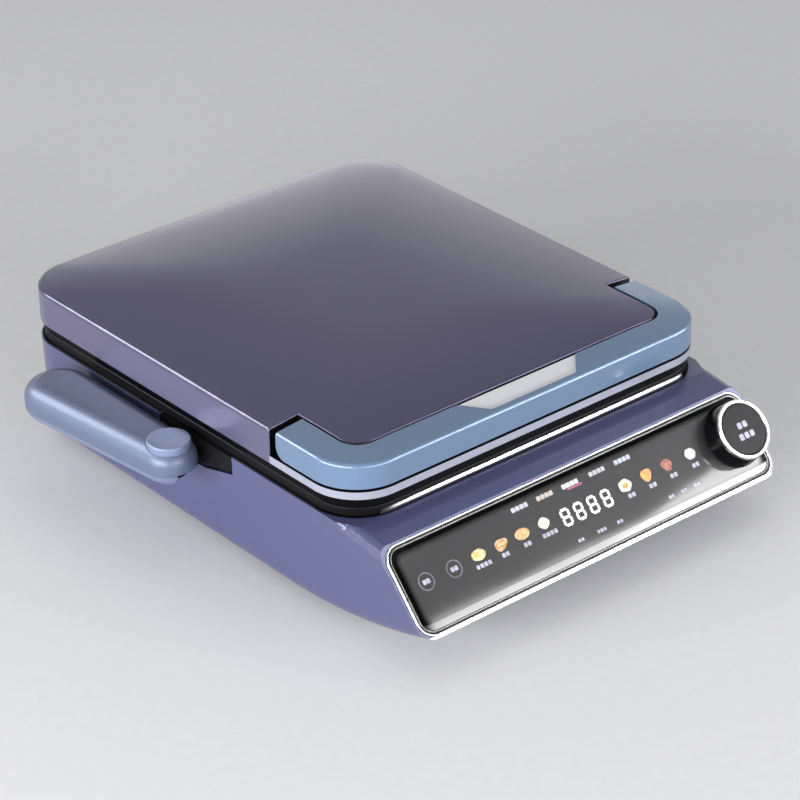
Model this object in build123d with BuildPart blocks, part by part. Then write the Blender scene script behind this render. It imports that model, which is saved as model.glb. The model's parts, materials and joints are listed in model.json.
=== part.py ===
"""Clamshell griddle with a floating lid, a removable lower pan and a sloped control panel.

Millimetres. The origin lies on the standing surface, under the middle of the lid.
X points right, Y to the back and Z up, as seen by someone who stands in front of the panel.
"""
import os
from math import cos, radians, sin

from build123d import *

os.makedirs("parts", exist_ok=True)

# Overall sizes
lid_width = 320.0
lid_depth = 363.0
lid_corner = 36.0
foot_height = 5.0
base_height = 76.0
band_height = 14.0
lid_wall_height = 25.0
lid_crown = 7.0
crown_run = 130.0
edge_rounding = 1.5
lid_rounding = 2.5
shell_wall = 3.0

# Front of the base: a gentle shelf, the sloped panel face and the rounded nose below it
shelf_depth = 23.5
shelf_drop = 3.0
panel_tilt = 48.0
panel_slope = 66.0
nose_root = 110.0
side_draft = 2.0
bottom_rounding = 12.0
shelf_rounding = 8.0

# Clearances
running_gap = 0.05
slide_gap = 0.3
seat_gap = 0.2

# Rim of the cavity, pan and plates
deck_width = 9.5
cavity_wall = 2.5
cavity_depth = 21.0
rim_flange = 1.0
rim_reveal = 1.0
trim_height = 3.0
trim_thickness = 1.4
trim_slope = 1.1
trim_tilt = 45.0
trim_half_length = 134.0
pan_reveal = 2.5
pan_rim_height = 6.0
pan_rim_thickness = 2.5
pan_wall = 2.5
pan_depth = 25.0
plate_gap = 10.0
plate_rim_height = 2.9
plate_side_gap = 6.0
plate_wall = 3.0
lid_frame_reveal = 1.5
lid_frame_width = 13.5
rim_play = 0.6
plate_screw_x = 100.0

# Heating
element_radius = 3.5
element_inset = 55.0
element_bend = 28.0
element_gap = 0.5
element_mouth = 40.0
clip_size = (12.0, 8.0)
tray_depth = 17.0
tray_wall = 1.2
tray_lip_inset = 10.0
tray_inset = 24.0
reflector_gap = 0.5
insulation_inset = 28.0
insulation_height = 6.0
sensor_size = (24.0, 12.0, 5.0)
thermostat_radius = 8.0
thermostat_height = 10.5
thermostat_cup_wall = 2.5
thermostat_cup_height = 10.0
thermostat_floor = 2.0
fuse_size = (20.0, 8.0, 4.0)
fuse_place = (-60.0, 60.0)

# Side handle of the pan and the bracket that carries it
grip_pivot_x = -180.5
grip_pivot_y = -19.0
grip_near_radius = 18.5
grip_far_radius = 24.5
grip_length = 116.0
grip_top = 84.0
grip_height = 27.0
grip_rounding = 11.5
grip_split = 66.0
tongue_bottom = 61.5
tongue_height = 5.5
tongue_width = 12.0
tongue_radius = 12.0
grip_slot_gap = 0.4
grip_pin_radius = 4.0
grip_pin_head_radius = 7.0
grip_pin_head_height = 1.6
bracket_length = 77.0
bracket_centre_y = -19.5
bracket_bottom = 61.0
bracket_rise = 8.0
bracket_rise_run = 31.0
bracket_top = 80.0
bracket_reveal = 1.0
bracket_gap = 1.5
release_radius = 15.0
release_gap = 0.3
release_proud = 2.0
release_travel = 2.5
release_height = 11.3
release_rounding = 1.2
release_spring_radius = 8.0
release_spring_wall = 1.5
release_roof = 3.0

# Front handle of the lid
lip_height = 5.5
handle_width = 22.0
handle_gap = 2.0
handle_rear = 74.0
handle_rear_gap = 7.0
notch_rounding = 1.2
handle_inner_corner = 16.0
handle_wall = 2.5
handle_liner = 2.5
handle_roof = 6.5
handle_end_rounding = 8.5
handle_pivot_inset = 8.75
handle_block = 20.0
handle_pin_radius = 2.5
handle_pin_depth = 9.0
pin_boss_radius = 6.0
pin_boss_length = 6.0
scoop_rear_half = 52.0
scoop_front_half = 37.0
scoop_margin = 5.0
scoop_rear_rise = 1.4
scoop_front_depth = 2.0
scoop_corner = 5.0
inlay_thickness = 1.2

# Hinge of the lid
hinge_back = 18.5
hinge_height = 84.0
shaft_radius = 4.0
float_travel = 10.0
rear_pad_width = 200.0
rear_pad_bottom = 20.0
rear_pad_drop = 5.0
rear_pad_proud = 0.5
rear_pad_depth = 6.0
tower_spacing = 160.0
tower_wall = 4.0
tower_roof = 2.0
tower_bottom = 50.0
tower_shoulder = 8.0
tower_rounding = 3.0
block_height = 12.0
block_depth = 13.0
block_width = 15.0
knuckle_radius = 7.5
knuckle_width = 16.0
knuckle_spacing = 90.0
bracket_plate = 2.5
bracket_plate_bottom = 2.5
bracket_plate_height = 18.0

# Control panel, stacked along the normal of the sloped face
panel_width = 314.0
panel_length = 63.0
panel_corner = 12.0
panel_gap = 0.2
frame_width = 3.5
frame_proud = 1.0
frame_seat = 1.5
frame_rounding = 0.7
glass_thickness = 2.0
glass_gap = 0.3
window_inset = 6.0
mask_thickness = 1.5
carrier_plate = 1.5
carrier_tab = 3.0
carrier_tab_length = 30.0
tray_size = (292.0, 44.0)
tray_shift = 2.0
carrier_wall = 2.0
carrier_depth = 10.0
board_gap = 1.0
board_thickness = 1.6
board_lift = 2.0
boss_radius = 2.5
boss_pitch = 130.0
display_x = 1.5
display_size = (60.0, 20.0)
display_shift = 1.7
icon_pitch = 19.0
icon_count = 4
icon_left_start = -92.0
icon_right_start = 37.0
icon_shift = 2.5
led_size = 5.0
led_height = 1.8
touch_pitch = 23.5
touch_start = -135.5
touch_pad_radius = 6.0

# Dial and start button
dial_x = 136.0
dial_shift = 2.8
dial_foot_radius = 22.6
dial_top_radius = 20.9
dial_lift = 0.4
dial_height = 13.8
dial_web_bottom = 4.3
dial_web = 3.0
dial_rim_wall = 2.4
dial_ring_width = 2.8
dial_ring_height = 3.0
ring_rounding = 1.2
collar_radius = 17.0
collar_height = 0.8
hub_radius = 4.5
hub_bore_radius = 2.8
stem_radius = 2.5
glass_hole_radius = 6.0
encoder_size = 14.0
encoder_gap = 0.3
hub_end_gap = 1.6
button_radius = 17.8
button_thickness = 2.7
button_sink = 0.6
button_travel = 1.5
switch_size = 3.6
switch_height = 2.5

# Power, fixings and feet
cover_width = 210.0
cover_length = 240.0
cover_y = 20.0
cover_lip = 6.0
cover_lip_height = 2.0
cover_gap = 0.3
power_board_size = (130.0, 90.0)
power_board_y = 20.0
power_board_thickness = 1.6
post_radius = 3.5
post_height = 5.0
post_margin = 8.0
transformer_size = (34.0, 28.0, 22.0)
relay_size = (20.0, 16.0, 15.0)
terminal_size = (40.0, 12.0, 12.0)
capacitor_radius = 6.0
capacitor_height = 20.0
part_spacing = 36.0
inlet_size = (28.0, 20.0)
inlet_flange = 5.0
inlet_flange_thickness = 2.0
inlet_depth = 22.0
inlet_wall = 2.0
inlet_z = 42.0
inlet_pin_radius = 2.0
inlet_pin_spacing = 7.0
inlet_pin_recess = 3.0
lead_radius = 1.6
lead_spacing = 7.0
lead_bend = 6.0
lead_drop = 5.0
ribbon_width = 20.0
ribbon_thickness = 1.0
ribbon_x = -40.0
ribbon_bend = 8.0
foot_radius = 9.0
foot_inset = 34.0
foot_front_y = -165.0
foot_rear_y = 145.0
screw_radius = 1.5
screw_hole_gap = 0.1
screw_head_radius = 3.0
screw_head_height = 1.6
cover_screw_rows = 3

# Heights above the standing surface
rim_z = foot_height + base_height
deck_z = rim_z - shell_wall
lid_z = rim_z + band_height
lid_edge_z = lid_z + lid_wall_height
cavity_top = rim_z + rim_flange
pan_top = cavity_top + pan_rim_height
pan_floor = pan_top - pan_depth
pan_underside = pan_floor - pan_wall
plate_face = pan_floor + plate_gap
plate_rim_z = pan_top + rim_play
lid_frame_z = plate_rim_z + plate_rim_height
tray_top = rim_z - cavity_depth
tray_floor = tray_top - tray_depth

# Places along Y
front_y = -lid_depth / 2
rear_y = lid_depth / 2
hinge_y = rear_y + hinge_back
tilt = radians(panel_tilt)
panel_top = (front_y - shelf_depth, rim_z - shelf_drop)
panel_low = (panel_top[0] - panel_slope * cos(tilt), panel_top[1] - panel_slope * sin(tilt))

# The sloped face: local x to the right, local y up the slope, local z out of it
panel_plane = Plane(
    origin=(0, (panel_top[0] + panel_low[0]) / 2, (panel_top[1] + panel_low[1]) / 2),
    x_dir=(1, 0, 0),
    z_dir=(0, -sin(tilt), cos(tilt)),
)

# Insets of the nested outlines, measured inwards from the outline of the lid
cavity_inset = deck_width + seat_gap
pan_body_inset = cavity_inset + cavity_wall + seat_gap
pan_hollow_inset = pan_body_inset + pan_wall
boss_inset = pan_hollow_inset + plate_side_gap


def outline(z, inset):
    """Rounded outline shared by lid, rim, pan and plates, drawn in by inset, at height z."""
    with BuildSketch(Plane.XY.offset(z)) as drawn:
        RectangleRounded(lid_width - 2 * inset, lid_depth - 2 * inset, lid_corner - inset)
    return drawn.sketch


def block(z, size, centre=(0, 0), corner=0):
    """Rectangle of the given size at height z, with round corners where a corner is given."""
    with BuildSketch(Plane.XY.offset(z)) as drawn:
        with Locations(centre):
            if corner:
                RectangleRounded(size[0], size[1], corner)
            else:
                Rectangle(size[0], size[1])
    return drawn.sketch


def discs(z, radius, places):
    """Circles of one radius at height z."""
    with BuildSketch(Plane.XY.offset(z)) as drawn:
        with Locations(*places):
            Circle(radius)
    return drawn.sketch


def on_panel(height, width, length, centre=(0, 0), corner=0):
    """Rectangle parallel to the sloped face, at the given height along its normal."""
    with BuildSketch(panel_plane.offset(height)) as drawn:
        with Locations(centre):
            if corner:
                RectangleRounded(width, length, corner)
            else:
                Rectangle(width, length)
    return drawn.sketch


def panel_discs(height, radius, places):
    """Circles parallel to the sloped face, at the given height along its normal."""
    with BuildSketch(panel_plane.offset(height)) as drawn:
        with Locations(*places):
            Circle(radius)
    return drawn.sketch


# Base shell


def base_form(inset):
    """Outer shape of the base, drawn in by inset on every side."""
    with BuildPart() as form:
        with BuildSketch(Plane.YZ):
            with BuildLine():
                Polyline(
                    (-nose_root, foot_height),
                    (rear_y, foot_height),
                    (rear_y, rim_z),
                    (front_y, rim_z),
                    panel_top,
                    panel_low,
                )
                TangentArc((-nose_root, foot_height), panel_low, tangent=(-1, 0))
            make_face()
            offset(amount=-inset, kind=Kind.INTERSECTION)
        extrude(amount=lid_width / 2, both=True)
        reach = rear_y - panel_low[0] + lid_corner
        with BuildSketch(Plane.XY.offset(rim_z)) as top:
            with Locations((0, rear_y - inset - reach / 2)):
                Rectangle(lid_width - 2 * inset, reach)
            fillet(top.vertices().group_by(Axis.Y)[-1], lid_corner - inset)
        extrude(amount=base_height + rim_z, dir=(0, 0, -1), taper=side_draft, mode=Mode.INTERSECT)
        underside = foot_height + inset
        lower = form.edges().filter_by(lambda edge: edge.position_at(0).Z < underside + edge_rounding)
        lower += form.edges().filter_by(lambda edge: edge.position_at(1).Z < underside + edge_rounding)
        across_nose = form.edges().filter_by(
            lambda edge: abs(edge.tangent_at(0.5).X) > 0.99 and edge.center().Y < 0
        )
        upright = form.edges().filter_by(lambda edge: edge.center().Z > underside + base_height / 4)
        fillet([edge for edge in lower if edge not in across_nose + upright], bottom_rounding - inset)
        beside_shelf = form.edges().filter_by(
            lambda edge: panel_top[0] < edge.center().Y < front_y
            and edge.center().Z > panel_low[1]
            and abs(edge.tangent_at(0.5).X) < 0.5
        )
        fillet(beside_shelf, shelf_rounding - inset)
    return form.part


base_outer = base_form(0)
base_hollow = base_form(shell_wall)
cover_screws = [
    (side * (cover_width + cover_lip) / 2, cover_y + row * cover_length / cover_screw_rows)
    for side in (-1, 1)
    for row in (-1, 0, 1)
]
inlet_opening = (inlet_size[0] + 2 * seat_gap, inlet_size[1] + 2 * seat_gap)
rear_face_y = rear_y + rear_pad_proud
tower_screw_places = [
    (side * tower_spacing / 2, tower_bottom + step * (rim_z - rear_pad_drop - tower_bottom))
    for side in (-1, 1)
    for step in (0.25, 0.75)
]


def bracket_side(x, grow, top):
    """Side view of the pan's bracket at x, up to the given top: its lower edge rises towards both ends."""
    end = bracket_length / 2 + grow
    foot = bracket_bottom - grow
    with BuildSketch(Plane.YZ.offset(x)) as drawn:
        with Locations((bracket_centre_y, 0)):
            Polygon(
                (-end, top),
                (-end, foot + bracket_rise),
                (bracket_rise_run - end, foot),
                (end - bracket_rise_run, foot),
                (end, foot + bracket_rise),
                (end, top),
                align=None,
            )
    return drawn.sketch


def cut_for_bracket(depth_inset):
    """Slot in the left wall that the pan's bracket drops into, from the wall inwards."""
    with BuildPart() as slot:
        slot_side = bracket_side(-lid_width / 2 - bracket_gap, bracket_gap, cavity_top)
        extrude(slot_side, amount=depth_inset + bracket_gap)
    return slot.part


def rear_sketch(y, size, centre):
    """Upright rectangle in a plane that faces the back."""
    with BuildSketch(Plane.XZ.offset(-y)) as drawn:
        with Locations(centre):
            Rectangle(*size)
    return drawn.sketch


with BuildPart() as base_shell:
    add(base_outer)
    pad_top = rim_z - rear_pad_drop
    pad_size = (rear_pad_width, pad_top - rear_pad_bottom)
    pad_centre = (0, (pad_top + rear_pad_bottom) / 2)
    extrude(rear_sketch(rear_face_y, pad_size, pad_centre), amount=rear_pad_depth)
    add(base_hollow, mode=Mode.SUBTRACT)
    extrude(outline(deck_z, deck_width), amount=shell_wall, mode=Mode.SUBTRACT)
    recess = on_panel(
        -frame_seat,
        panel_width + 2 * panel_gap,
        panel_length + 2 * panel_gap,
        corner=panel_corner + panel_gap,
    )
    extrude(recess, amount=frame_seat + frame_proud, mode=Mode.SUBTRACT)
    window = on_panel(
        -shell_wall * 2,
        panel_width - 2 * window_inset,
        panel_length - 2 * window_inset,
        corner=panel_corner - window_inset,
    )
    extrude(window, amount=shell_wall * 2, mode=Mode.SUBTRACT)
    add(cut_for_bracket(deck_width + seat_gap), mode=Mode.SUBTRACT)
    extrude(
        block(foot_height, (cover_width, cover_length), (0, cover_y)), amount=shell_wall, mode=Mode.SUBTRACT
    )
    screw_holes = discs(foot_height, screw_radius + screw_hole_gap, cover_screws)
    extrude(screw_holes, amount=shell_wall, mode=Mode.SUBTRACT)
    extrude(
        discs(foot_height, screw_head_radius + screw_hole_gap, cover_screws),
        amount=screw_head_height,
        mode=Mode.SUBTRACT,
    )
    inlet_hole = rear_sketch(rear_face_y, inlet_opening, (0, inlet_z))
    extrude(inlet_hole, amount=rear_pad_depth * 2, mode=Mode.SUBTRACT)
    with BuildSketch(Plane.XZ.offset(-rear_face_y)):
        with Locations(*tower_screw_places):
            Circle(screw_radius)
    extrude(amount=rear_pad_depth, mode=Mode.SUBTRACT)

# Bottom cover with the posts of the power board
cover_top = foot_height + shell_wall + cover_lip_height
post_x = power_board_size[0] / 2 - post_margin
post_y = power_board_size[1] / 2 - post_margin
post_places = [(side * post_x, power_board_y + end * post_y) for side in (-1, 1) for end in (-1, 1)]
with BuildPart() as bottom_cover:
    plate = (cover_width - 2 * cover_gap, cover_length - 2 * cover_gap)
    lip = (cover_width + 2 * cover_lip, cover_length + 2 * cover_lip)
    extrude(block(foot_height, plate, (0, cover_y)), amount=shell_wall)
    extrude(block(foot_height + shell_wall, lip, (0, cover_y)), amount=cover_lip_height)
    extrude(discs(cover_top, post_radius, post_places), amount=post_height)
    screw_bores = discs(foot_height + shell_wall, screw_radius, cover_screws)
    extrude(screw_bores, amount=cover_lip_height, mode=Mode.SUBTRACT)

with BuildPart() as bottom_screws:
    extrude(discs(foot_height, screw_head_radius, cover_screws), amount=screw_head_height)
    extrude(discs(foot_height, screw_radius, cover_screws), amount=shell_wall + cover_lip_height)

# Rubber feet, cut to the curve of the underside
foot_places = [
    (side * (lid_width / 2 - foot_inset), y) for side in (-1, 1) for y in (foot_front_y, foot_rear_y)
]
with BuildPart() as rubber_feet:
    extrude(discs(0, foot_radius, foot_places), amount=foot_height + bottom_rounding)
    add(base_outer, mode=Mode.SUBTRACT)
    fillet(rubber_feet.edges().group_by(Axis.Z)[0], edge_rounding)

# Rim of the cavity: a flange on the deck and an upright wall inside it
with BuildPart() as cavity_rim:
    extrude(outline(rim_z, rim_reveal), amount=rim_flange)
    extrude(outline(tray_top, cavity_inset), amount=cavity_depth)
    opening = outline(tray_top, cavity_inset + cavity_wall)
    extrude(opening, amount=cavity_depth + rim_flange, mode=Mode.SUBTRACT)
    add(cut_for_bracket(pan_body_inset), mode=Mode.SUBTRACT)

with BuildPart() as front_trim:
    slope_z = cavity_top + trim_height - trim_slope
    extrude(outline(cavity_top, rim_reveal), amount=trim_height - trim_slope)
    extrude(outline(slope_z, rim_reveal), amount=trim_slope, taper=trim_tilt)
    extrude(outline(cavity_top, rim_reveal + trim_thickness), amount=trim_height, mode=Mode.SUBTRACT)
    extrude(
        block(cavity_top, (2 * trim_half_length, lid_depth), (0, -lid_depth / 2)),
        amount=trim_height,
        mode=Mode.INTERSECT,
    )

# Lower pan with its rim, and the bracket of its side handle
with BuildPart() as lower_pan:
    skirt_z = cavity_top
    rim_inner = pan_reveal + pan_rim_thickness
    extrude(outline(skirt_z, pan_reveal), amount=pan_rim_height)
    extrude(outline(skirt_z, rim_inner), amount=pan_rim_height - pan_rim_thickness, mode=Mode.SUBTRACT)
    extrude(outline(pan_underside, pan_body_inset), amount=pan_top - pan_underside)
    extrude(outline(pan_floor, pan_hollow_inset), amount=pan_depth, mode=Mode.SUBTRACT)
    fillet(lower_pan.edges().group_by(Axis.Z)[-1].group_by(Axis.X)[0], edge_rounding)

pan_side_x = -lid_width / 2 + pan_body_inset
bracket_outer_x = -lid_width / 2 + bracket_reveal
with BuildPart() as pan_bracket:
    extrude(bracket_side(bracket_outer_x, 0, bracket_top), amount=pan_side_x - bracket_outer_x)
    with BuildSketch(Plane.XY.offset(tongue_bottom)):
        with Locations(((grip_pivot_x + bracket_outer_x) / 2, grip_pivot_y)):
            Rectangle(bracket_outer_x - grip_pivot_x, tongue_width)
        with Locations((grip_pivot_x, grip_pivot_y)):
            Circle(tongue_radius)
            Circle(grip_pin_radius + running_gap, mode=Mode.SUBTRACT)
    extrude(amount=tongue_height)


# Heating under the pan


def element_loop(z):
    """Bent tube of a heating element: an open rounded loop whose two ends point to the back."""
    half_x = lid_width / 2 - element_inset
    half_y = lid_depth / 2 - element_inset
    end_x = element_mouth / 2
    with BuildPart() as tube:
        with BuildLine() as path:
            FilletPolyline(
                (end_x, half_y, z),
                (half_x, half_y, z),
                (half_x, -half_y, z),
                (-half_x, -half_y, z),
                (-half_x, half_y, z),
                (-end_x, half_y, z),
                radius=element_bend,
            )
        with BuildSketch(Plane(origin=path.line @ 0, z_dir=path.line % 0)):
            Circle(element_radius)
        sweep()
    return tube.part


element_z = pan_underside - element_gap - element_radius
clip_places = [
    (side * (lid_width / 2 - element_inset), end * (lid_depth / 4)) for side in (-1, 1) for end in (-1, 1)
]
with BuildPart() as lower_tray:
    extrude(outline(tray_top - tray_wall, tray_lip_inset), amount=tray_wall)
    extrude(outline(tray_floor, tray_inset), amount=tray_depth)
    extrude(outline(tray_floor + tray_wall, tray_inset + tray_wall), amount=tray_depth, mode=Mode.SUBTRACT)

with BuildPart() as lower_element:
    add(element_loop(element_z))

clip_foot = tray_floor + tray_wall
with BuildPart() as element_clips:
    with BuildSketch(Plane.XY.offset(clip_foot)):
        with Locations(*clip_places):
            Rectangle(*clip_size)
    extrude(amount=element_z - clip_foot)
    add(lower_element.part, mode=Mode.SUBTRACT)

# Sprung thermostat that presses on the underside of the pan
cup_radius = thermostat_radius + slide_gap + thermostat_cup_wall
cup_floor = clip_foot + thermostat_floor
with BuildPart() as thermostat_cup:
    extrude(discs(clip_foot, cup_radius, [(0, 0)]), amount=thermostat_cup_height)
    cup_room = discs(cup_floor, thermostat_radius + slide_gap, [(0, 0)])
    extrude(cup_room, amount=thermostat_cup_height, mode=Mode.SUBTRACT)

thermostat_foot = pan_underside - thermostat_height
with BuildPart() as thermostat_cap:
    extrude(discs(thermostat_foot, thermostat_radius, [(0, 0)]), amount=thermostat_height)
    fillet(thermostat_cap.edges().group_by(Axis.Z)[0], edge_rounding)

with BuildPart() as thermostat_spring:
    spring_outer = thermostat_radius - edge_rounding
    extrude(discs(cup_floor, spring_outer, [(0, 0)]), amount=thermostat_foot - cup_floor)
    extrude(
        discs(cup_floor, spring_outer - release_spring_wall, [(0, 0)]),
        amount=thermostat_foot - cup_floor,
        mode=Mode.SUBTRACT,
    )

with BuildPart() as thermal_fuse:
    extrude(block(tray_floor - fuse_size[2], fuse_size[:2], fuse_place, edge_rounding), amount=fuse_size[2])


# Side handle of the pan, swung back along the left wall


def grip_outline(z):
    """Plan of the side handle: a near and a far circle joined by a straight inner and outer side."""
    far_x = grip_pivot_x + grip_near_radius - grip_far_radius
    with BuildSketch(Plane.XY.offset(z)) as drawn:
        with Locations((grip_pivot_x, grip_pivot_y)):
            Circle(grip_near_radius)
        with Locations((far_x, grip_pivot_y + grip_length)):
            Circle(grip_far_radius)
        make_hull()
    return drawn.sketch


def tongue_room(z, height):
    """Room that the bracket's tongue sweeps under the handle as it swings through a quarter turn."""
    half = tongue_width / 2 + grip_slot_gap
    reach = 2 * grip_near_radius
    with BuildPart() as room:
        with BuildSketch(Plane.XY.offset(z)):
            with Locations((grip_pivot_x, grip_pivot_y)):
                Circle(tongue_radius + grip_slot_gap)
            with Locations((grip_pivot_x + reach / 2, grip_pivot_y)):
                Rectangle(reach, 2 * half)
            with Locations((grip_pivot_x, grip_pivot_y - reach / 2)):
                Rectangle(2 * half, reach)
            with Locations((grip_pivot_x + reach / 2, grip_pivot_y - reach / 2)):
                Rectangle(reach, reach)
        extrude(amount=height)
    return room.part


grip_bottom = grip_top - grip_height
slot_top = tongue_bottom + tongue_height + grip_slot_gap
release_bottom = grip_top + release_proud - release_height
release_floor = release_bottom - release_travel - slide_gap
pivot_place = [(grip_pivot_x, grip_pivot_y)]
with BuildPart() as grip_form:
    extrude(grip_outline(grip_bottom), amount=grip_height)
    fillet(grip_form.edges().group_by(Axis.Z)[0] + grip_form.edges().group_by(Axis.Z)[-1], grip_rounding)
    add(tongue_room(grip_bottom, slot_top - grip_bottom), mode=Mode.SUBTRACT)
    button_room = discs(release_floor, release_radius + release_gap, pivot_place)
    extrude(button_room, amount=grip_height, mode=Mode.SUBTRACT)
    extrude(discs(slot_top, grip_pin_radius, pivot_place), amount=grip_height, mode=Mode.SUBTRACT)

with BuildPart() as grip_upper:
    add(grip_form.part)
    split(bisect_by=Plane.XY.offset(grip_split), keep=Keep.TOP)

with BuildPart() as grip_lower:
    add(grip_form.part)
    split(bisect_by=Plane.XY.offset(grip_split), keep=Keep.BOTTOM)

with BuildPart() as grip_pin:
    pin_foot = tongue_bottom - grip_slot_gap - grip_pin_head_height
    extrude(discs(pin_foot, grip_pin_head_radius, pivot_place), amount=grip_pin_head_height)
    fillet(grip_pin.edges().group_by(Axis.Z)[0], grip_pin_head_height / 2)
    extrude(discs(pin_foot, grip_pin_radius, pivot_place), amount=release_floor - pin_foot)

with BuildPart() as release_button:
    extrude(discs(release_bottom, release_radius, pivot_place), amount=release_height)
    fillet(release_button.edges().group_by(Axis.Z)[-1], release_rounding)
    extrude(
        discs(release_bottom, release_spring_radius + slide_gap, pivot_place),
        amount=release_height - release_roof,
        mode=Mode.SUBTRACT,
    )

with BuildPart() as release_spring:
    spring_length = grip_top + release_proud - release_roof - release_floor
    extrude(discs(release_floor, release_spring_radius, pivot_place), amount=spring_length)
    extrude(
        discs(release_floor, release_spring_radius - release_spring_wall, pivot_place),
        amount=spring_length,
        mode=Mode.SUBTRACT,
    )


# Lid shell


def lid_form(inset):
    """Outer shape of the lid, drawn in by inset at the sides and on top: a wall and a pillow crown."""
    top_z = lid_edge_z - inset
    steps = 3
    with BuildPart() as form:
        extrude(outline(lid_z, inset), amount=top_z - lid_z)
        for step in range(steps + 1):
            share = step / steps
            run = crown_run * share
            rise = lid_crown * (1 - (1 - share) ** 2)
            size = (lid_width - 2 * (inset + run), lid_depth - 2 * (inset + run))
            with BuildSketch(Plane.XY.offset(top_z + rise)):
                RectangleRounded(*size, (lid_corner - inset) * (1 - share / 2))
        loft()
    return form.part


def handle_notch(gap, z):
    """Room round the front handle, from height z upwards, grown by gap on every side."""
    inner = handle_width + handle_gap + gap
    notch_rear = front_y + handle_rear + handle_rear_gap + gap
    corner = handle_inner_corner - handle_gap - gap
    with BuildPart() as room:
        with BuildSketch(Plane.XY.offset(z)) as drawn:
            with Locations((0, notch_rear - lid_depth / 2)):
                Rectangle(lid_width * 2, lid_depth)
            with Locations((0, front_y + inner + lid_depth / 2)):
                RectangleRounded(lid_width - 2 * inner, lid_depth, corner, mode=Mode.SUBTRACT)
        extrude(amount=lid_edge_z + lid_crown - z + 1)
    return room.part


lip_z = lid_z + lip_height
handle_z = lip_z + handle_gap
handle_height = lid_edge_z - handle_z
handle_rear_y = front_y + handle_rear
pivot_y = handle_rear_y - handle_pivot_inset
pivot_z = handle_z + handle_height / 2
lid_side_x = lid_width / 2 - handle_width - handle_gap
pin_start = lid_side_x - shell_wall - pin_boss_length
hinge_plate_z = lid_z + bracket_plate_bottom
hinge_plate_width = knuckle_spacing + knuckle_width
hinge_screws_at = [
    (side * hinge_plate_width / 4, hinge_plate_z + bracket_plate_height / 2) for side in (-1, 1)
]


def across_pins(radius, start_x, length):
    """Cylinders on the pivot line of the front handle, one on each side."""
    with BuildPart() as pins:
        for side in (-1, 1):
            with BuildSketch(Plane(origin=(side * start_x, pivot_y, pivot_z), z_dir=(side, 0, 0))):
                Circle(radius)
            extrude(amount=length)
    return pins.part


with BuildPart() as lid_hollow:
    add(lid_form(shell_wall))
    add(handle_notch(shell_wall, lip_z - shell_wall), mode=Mode.SUBTRACT)

inner_front_y = front_y + handle_width + handle_gap + handle_inner_corner
with BuildPart() as lid_shell:
    add(lid_form(0))
    fillet(
        lid_shell.edges().filter_by(lambda edge: abs(edge.center().Z - lid_edge_z) < seat_gap), lid_rounding
    )
    add(handle_notch(0, lip_z), mode=Mode.SUBTRACT)
    round_notch = lid_shell.edges().filter_by(
        lambda edge: edge.center().Z > lid_edge_z + seat_gap
        and edge.center().Y < handle_rear_y + handle_rear_gap + seat_gap
        and abs(edge.tangent_at(0.5).Z) < 0.5
        and (abs(edge.center().X) > lid_side_x - handle_inner_corner or edge.center().Y < inner_front_y)
    )
    fillet(round_notch, notch_rounding)
    add(lid_hollow.part, mode=Mode.SUBTRACT)
    add(across_pins(pin_boss_radius, pin_start, pin_boss_length))
    add(across_pins(handle_pin_radius + running_gap, pin_start, pin_boss_length * 2), mode=Mode.SUBTRACT)
    with BuildSketch(Plane.XZ.offset(-rear_y)):
        with Locations(*hinge_screws_at):
            Circle(screw_radius)
    extrude(amount=shell_wall, mode=Mode.SUBTRACT)


# Ring under the lid shell, upper plate in its pressed rim, and what lies behind them
plate_screw_places = [
    (side * plate_screw_x, end * (lid_depth / 2 - lid_frame_reveal - lid_frame_width / 2))
    for side in (-1, 1)
    for end in (-1, 1)
]
with BuildPart() as lid_frame:
    extrude(outline(lid_frame_z, lid_frame_reveal), amount=lid_z - lid_frame_z)
    opening = outline(lid_frame_z, lid_frame_reveal + lid_frame_width)
    extrude(opening, amount=lid_z - lid_frame_z, mode=Mode.SUBTRACT)
    screw_bores = discs(lid_frame_z, screw_radius, plate_screw_places)
    extrude(screw_bores, amount=lid_z - lid_frame_z, mode=Mode.SUBTRACT)

with BuildPart() as upper_plate:
    extrude(outline(plate_face, boss_inset), amount=lid_frame_z - plate_face)
    fillet(upper_plate.edges().group_by(Axis.Z)[0], edge_rounding)
    plate_recess = outline(plate_face + plate_wall, boss_inset + plate_wall)
    extrude(plate_recess, amount=lid_frame_z - plate_face, mode=Mode.SUBTRACT)

with BuildPart() as plate_rim:
    extrude(outline(plate_rim_z, pan_reveal), amount=plate_rim_height)
    extrude(outline(plate_rim_z, boss_inset), amount=plate_rim_height, mode=Mode.SUBTRACT)
    head_seats = discs(plate_rim_z, screw_head_radius, plate_screw_places)
    extrude(head_seats, amount=screw_head_height, mode=Mode.SUBTRACT)
    screw_bores = discs(plate_rim_z, screw_radius, plate_screw_places)
    extrude(screw_bores, amount=plate_rim_height, mode=Mode.SUBTRACT)

with BuildPart() as plate_screws:
    extrude(discs(plate_rim_z, screw_head_radius, plate_screw_places), amount=screw_head_height)
    extrude(discs(plate_rim_z, screw_radius, plate_screw_places), amount=lid_z - plate_rim_z)

with BuildPart() as upper_element:
    add(element_loop(plate_face + plate_wall + element_gap + element_radius))

with BuildPart() as upper_sensor:
    extrude(block(plate_face + plate_wall, sensor_size[:2], corner=edge_rounding), amount=sensor_size[2])

reflector_inset = lid_frame_reveal + lid_frame_width + reflector_gap
with BuildPart() as upper_reflector:
    extrude(outline(lid_frame_z, reflector_inset), amount=tray_wall)

with BuildPart() as insulation_pad:
    extrude(outline(lid_frame_z + tray_wall, insulation_inset), amount=insulation_height)


# Front handle of the lid


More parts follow.
